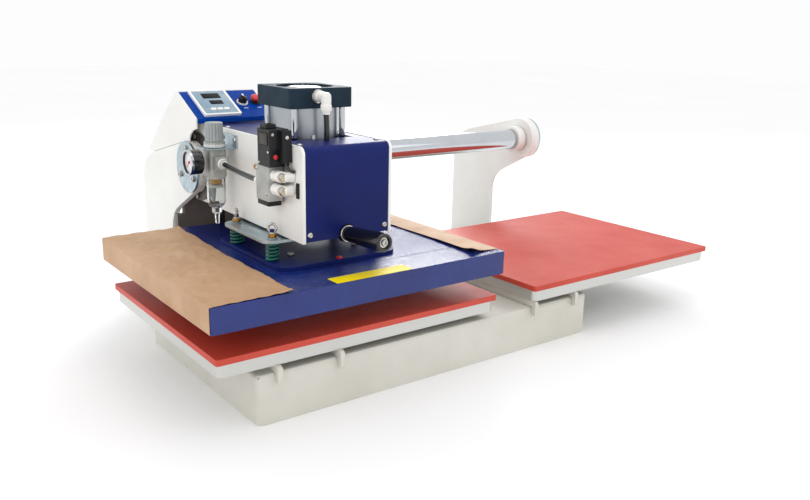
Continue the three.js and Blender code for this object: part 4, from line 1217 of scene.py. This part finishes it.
@dataclass
class HeatedPlaten:
    """The heated plate under its two-part cover, with the protective paper and the yellow strip on top."""

    left: float = -71.0
    right: float = 442.0
    front: float = -16.0
    back: float = 409.0
    bottom: float = 154.6
    top: float = 192.3

    def build(self) -> None:
        """Builds and dresses all of it."""
        dress("heating_plate", MILLED, "platen", 0.8)
        dress("platen_mount", NAVY_SMOOTH, "platen", 1.2)
        dress("platen_cover", NAVY, "platen", 0.9)
        dress("platen_cover_front", NAVY, "platen", 0.9)
        self.left_paper()
        self.right_paper()
        self.trim()

    def left_paper(self) -> None:
        """Kraft paper over the left end: across the top, over the edge and down the side.

        The distance s runs from the inner edge across the top, round a small bend and down the side. Creases
        lift the paper by up to four millimetres where it lies on top and fade out towards the edge.
        """
        s, v = np.meshgrid(np.linspace(0, 1, 110), np.linspace(0, 1, 170), indexing="ij")
        y = self.front + 2.5 + v * (self.back - self.front - 3.0)
        inner = 50 + 10 * v + 1.6 * np.sin(9 * v) + 0.9 * np.sin(31 * v + 1)
        across = inner - self.left
        drop = self.top - self.bottom - 0.6
        run = s * (across + drop)
        over = np.clip(run - across, 0, None)
        x = np.maximum(inner - run, self.left - 0.35)
        creases = 0.5 + 0.5 * crumple(x, y, 46, 3) + 0.35 * crumple(x, y, 21, 8)
        fade = np.clip((x - self.left) / 22, 0, 1)
        lift = fade * (0.25 + 2.6 * np.clip(creases, 0, 1.4))
        edge_lift = np.exp(-((inner - x) / 14) ** 2) * (2.2 * np.exp(-((v - 1) / 0.05) ** 2)
                                                         + 2.6 * np.exp(-(v / 0.03) ** 2))
        z = self.top + 0.3 + np.where(over > 0, 0, lift + edge_lift) - over
        x = x - np.where(over > 0, 0.15 + 0.12 * crumple(y, over, 60, 5), 0)
        self.paper("kraft_paper_left", np.stack([x, y, z], axis=-1))

    def right_paper(self) -> None:
        """A loose strip along the right end, bowed up off the cover, its front inner corner curled over."""
        s, v = np.meshgrid(np.linspace(0, 1, 60), np.linspace(0, 1, 170), indexing="ij")
        y = 1.0 + v * (self.back - 2.0)
        inner = 384 + 11 * v + 1.5 * np.sin(7 * v)
        x = inner + s * (self.right - 1.0 - inner)
        creases = 0.5 + 0.5 * crumple(x, y, 38, 12) + 0.3 * crumple(x, y, 17, 4)
        bow = 3.6 * (1 - s) ** 1.4 * (0.65 + 0.35 * np.cos(5.5 * v))
        corner = 5.0 * np.exp(-((s / 0.22) ** 2)) * np.exp(-((v / 0.035) ** 2))
        z = self.top + 0.4 + bow + corner + 1.1 * np.clip(creases, 0, 1.3) * (0.3 + 0.7 * (1 - s))
        self.paper("kraft_paper_right", np.stack([x, y, z], axis=-1))

    def paper(self, name: str, grid: np.ndarray) -> None:
        """A sheet of paper 0.2 mm thick over the grid."""
        shape = sheet_of_quads(grid)
        made = mesh_object(name, shape, KRAFT)
        soften(made, 60)
        wall = made.modifiers.new("paper_thickness", "SOLIDIFY")
        wall.thickness = 0.2 * MM
        wall.offset = 1.0
        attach(made, "platen")
        LOG.info("sheet %s: %d faces", name, len(shape.faces))

    def trim(self) -> None:
        """The yellow strip near the front edge, and the screws of the raised plate."""
        strip = block((120.0, -14.5, self.top + 0.05), (253.0, 12.5, self.top + 0.3), 1.0, 0.1)
        make("yellow_strip", strip, LABEL, "platen")
        heads = [screw((x, y, 198.1), UP, 5.2, Drive.SOCKET, 4.2) for x in (127, 244) for y in (130, 238)]
        make("mount_screws", together(heads), BRIGHT, "platen")
        cap = turned([(0, 0), (4.6, 0), (4.8, 1.4), (3.6, 3.0), (0, 3.2)], (182.0, 78.0, 198.1), UP, 0.5, 32)
        make("mount_hole_plug", cap, RED, "platen")


# ------------------------------------------------------------------ stage


@dataclass
class Studio:
    """Pale floor, soft lamps overhead, at each side and behind, and the camera."""

    camera_at: tuple[float, float, float] = (-473.4, -948.0, 543.4)
    azimuth: float = -37.29
    elevation: float = 15.23
    roll: float = 1.25
    lens: float = 36.72
    floor_reach: float = 9000.0
    lamps_aim_at: tuple[float, float, float] = (400.0, 200.0, 150.0)
    lamps: list[tuple[str, tuple[float, float, float], float, float, str]] = field(
        default_factory=lambda: [
            ("lamp_over", (300.0, 100.0, 2400.0), 1.4, 6.0, "#ffffff"),
            ("lamp_left", (-2000.0, -300.0, 1300.0), 1.2, 4.0, "#fffdf8"),
            ("lamp_right", (1700.0, -1500.0, 1700.0), 1.2, 2.5, "#f6f9ff"),
            ("lamp_back", (1900.0, 2300.0, 1250.0), 1.0, 24.0, "#ffffff"),
        ]
    )

    def build(self) -> None:
        """Builds the floor, the lamps, the surroundings and the camera."""
        edges = (-self.floor_reach, self.floor_reach)
        corners = np.array([[(x, y, -0.2) for y in edges] for x in edges], float)
        floor = mesh_object("studio_floor", sheet_of_quads(corners), FLOOR)
        for name, at, size, power, colour in self.lamps:
            self.lamp(name, at, size, power, colour)
        world = bpy.data.worlds.new("studio_surroundings")
        world.use_nodes = True
        world.node_tree.nodes["Background"].inputs["Color"].default_value = linear("#fdfdfe")
        world.node_tree.nodes["Background"].inputs["Strength"].default_value = 1.0
        bpy.context.scene.world = world
        bpy.context.scene.view_settings.view_transform = "Standard"
        self.camera()

    def lamp(self, name: str, at: tuple[float, float, float], size: float, power: float, colour: str) -> None:
        """A square soft lamp aimed at the middle of the press."""
        data = bpy.data.lights.new(name, "AREA")
        data.size, data.energy = size, power
        data.color = linear(colour)[:3]
        made = bpy.data.objects.new(name, data)
        bpy.context.scene.collection.objects.link(made)
        place = Vector(np.array(at) * MM + DATUM)
        target = Vector(np.array(self.lamps_aim_at) * MM + DATUM)
        aim = (target - place).to_track_quat("-Z", "Y").to_matrix().to_4x4()
        made.matrix_world = Matrix.Translation(place) @ aim

    def camera(self) -> None:
        """The camera at the operator's left, a little above the head, level but for a slight roll."""
        az, el, roll = (math.radians(v) for v in (self.azimuth, self.elevation, self.roll))
        back = np.array([math.sin(az) * math.cos(el), -math.cos(az) * math.cos(el), math.sin(el)])
        right = np.cross(-back, UP)
        right /= np.linalg.norm(right)
        above = np.cross(right, -back)
        across = math.cos(roll) * right + math.sin(roll) * above
        upward = -math.sin(roll) * right + math.cos(roll) * above
        data = bpy.data.cameras.new("studio_camera")
        data.lens, data.sensor_width, data.clip_end = self.lens, 36.0, 60.0
        made = bpy.data.objects.new("studio_camera", data)
        bpy.context.scene.collection.objects.link(made)
        turn = Matrix(np.column_stack([across, upward, back]).tolist()).to_4x4()
        made.matrix_world = Matrix.Translation(Vector(np.array(self.camera_at) * MM + DATUM)) @ turn
        bpy.context.scene.camera = made


def main() -> None:
    """Builds the studio and every sub-assembly in order."""
    logging.basicConfig(level=logging.INFO, format="%(name)s %(message)s")
    for part in (
        Studio(),
        BaseFrame(),
        WorkStations(),
        ControlBox(),
        SlidingHead(),
        AirCylinder(),
        SideHandle(),
        FilterRegulator(),
        SolenoidValve(),
        PressHead(),
        HeatedPlaten(),
    ):
        part.build()
        LOG.info("built %s", type(part).__name__)


if __name__ == "__main__":
    main()
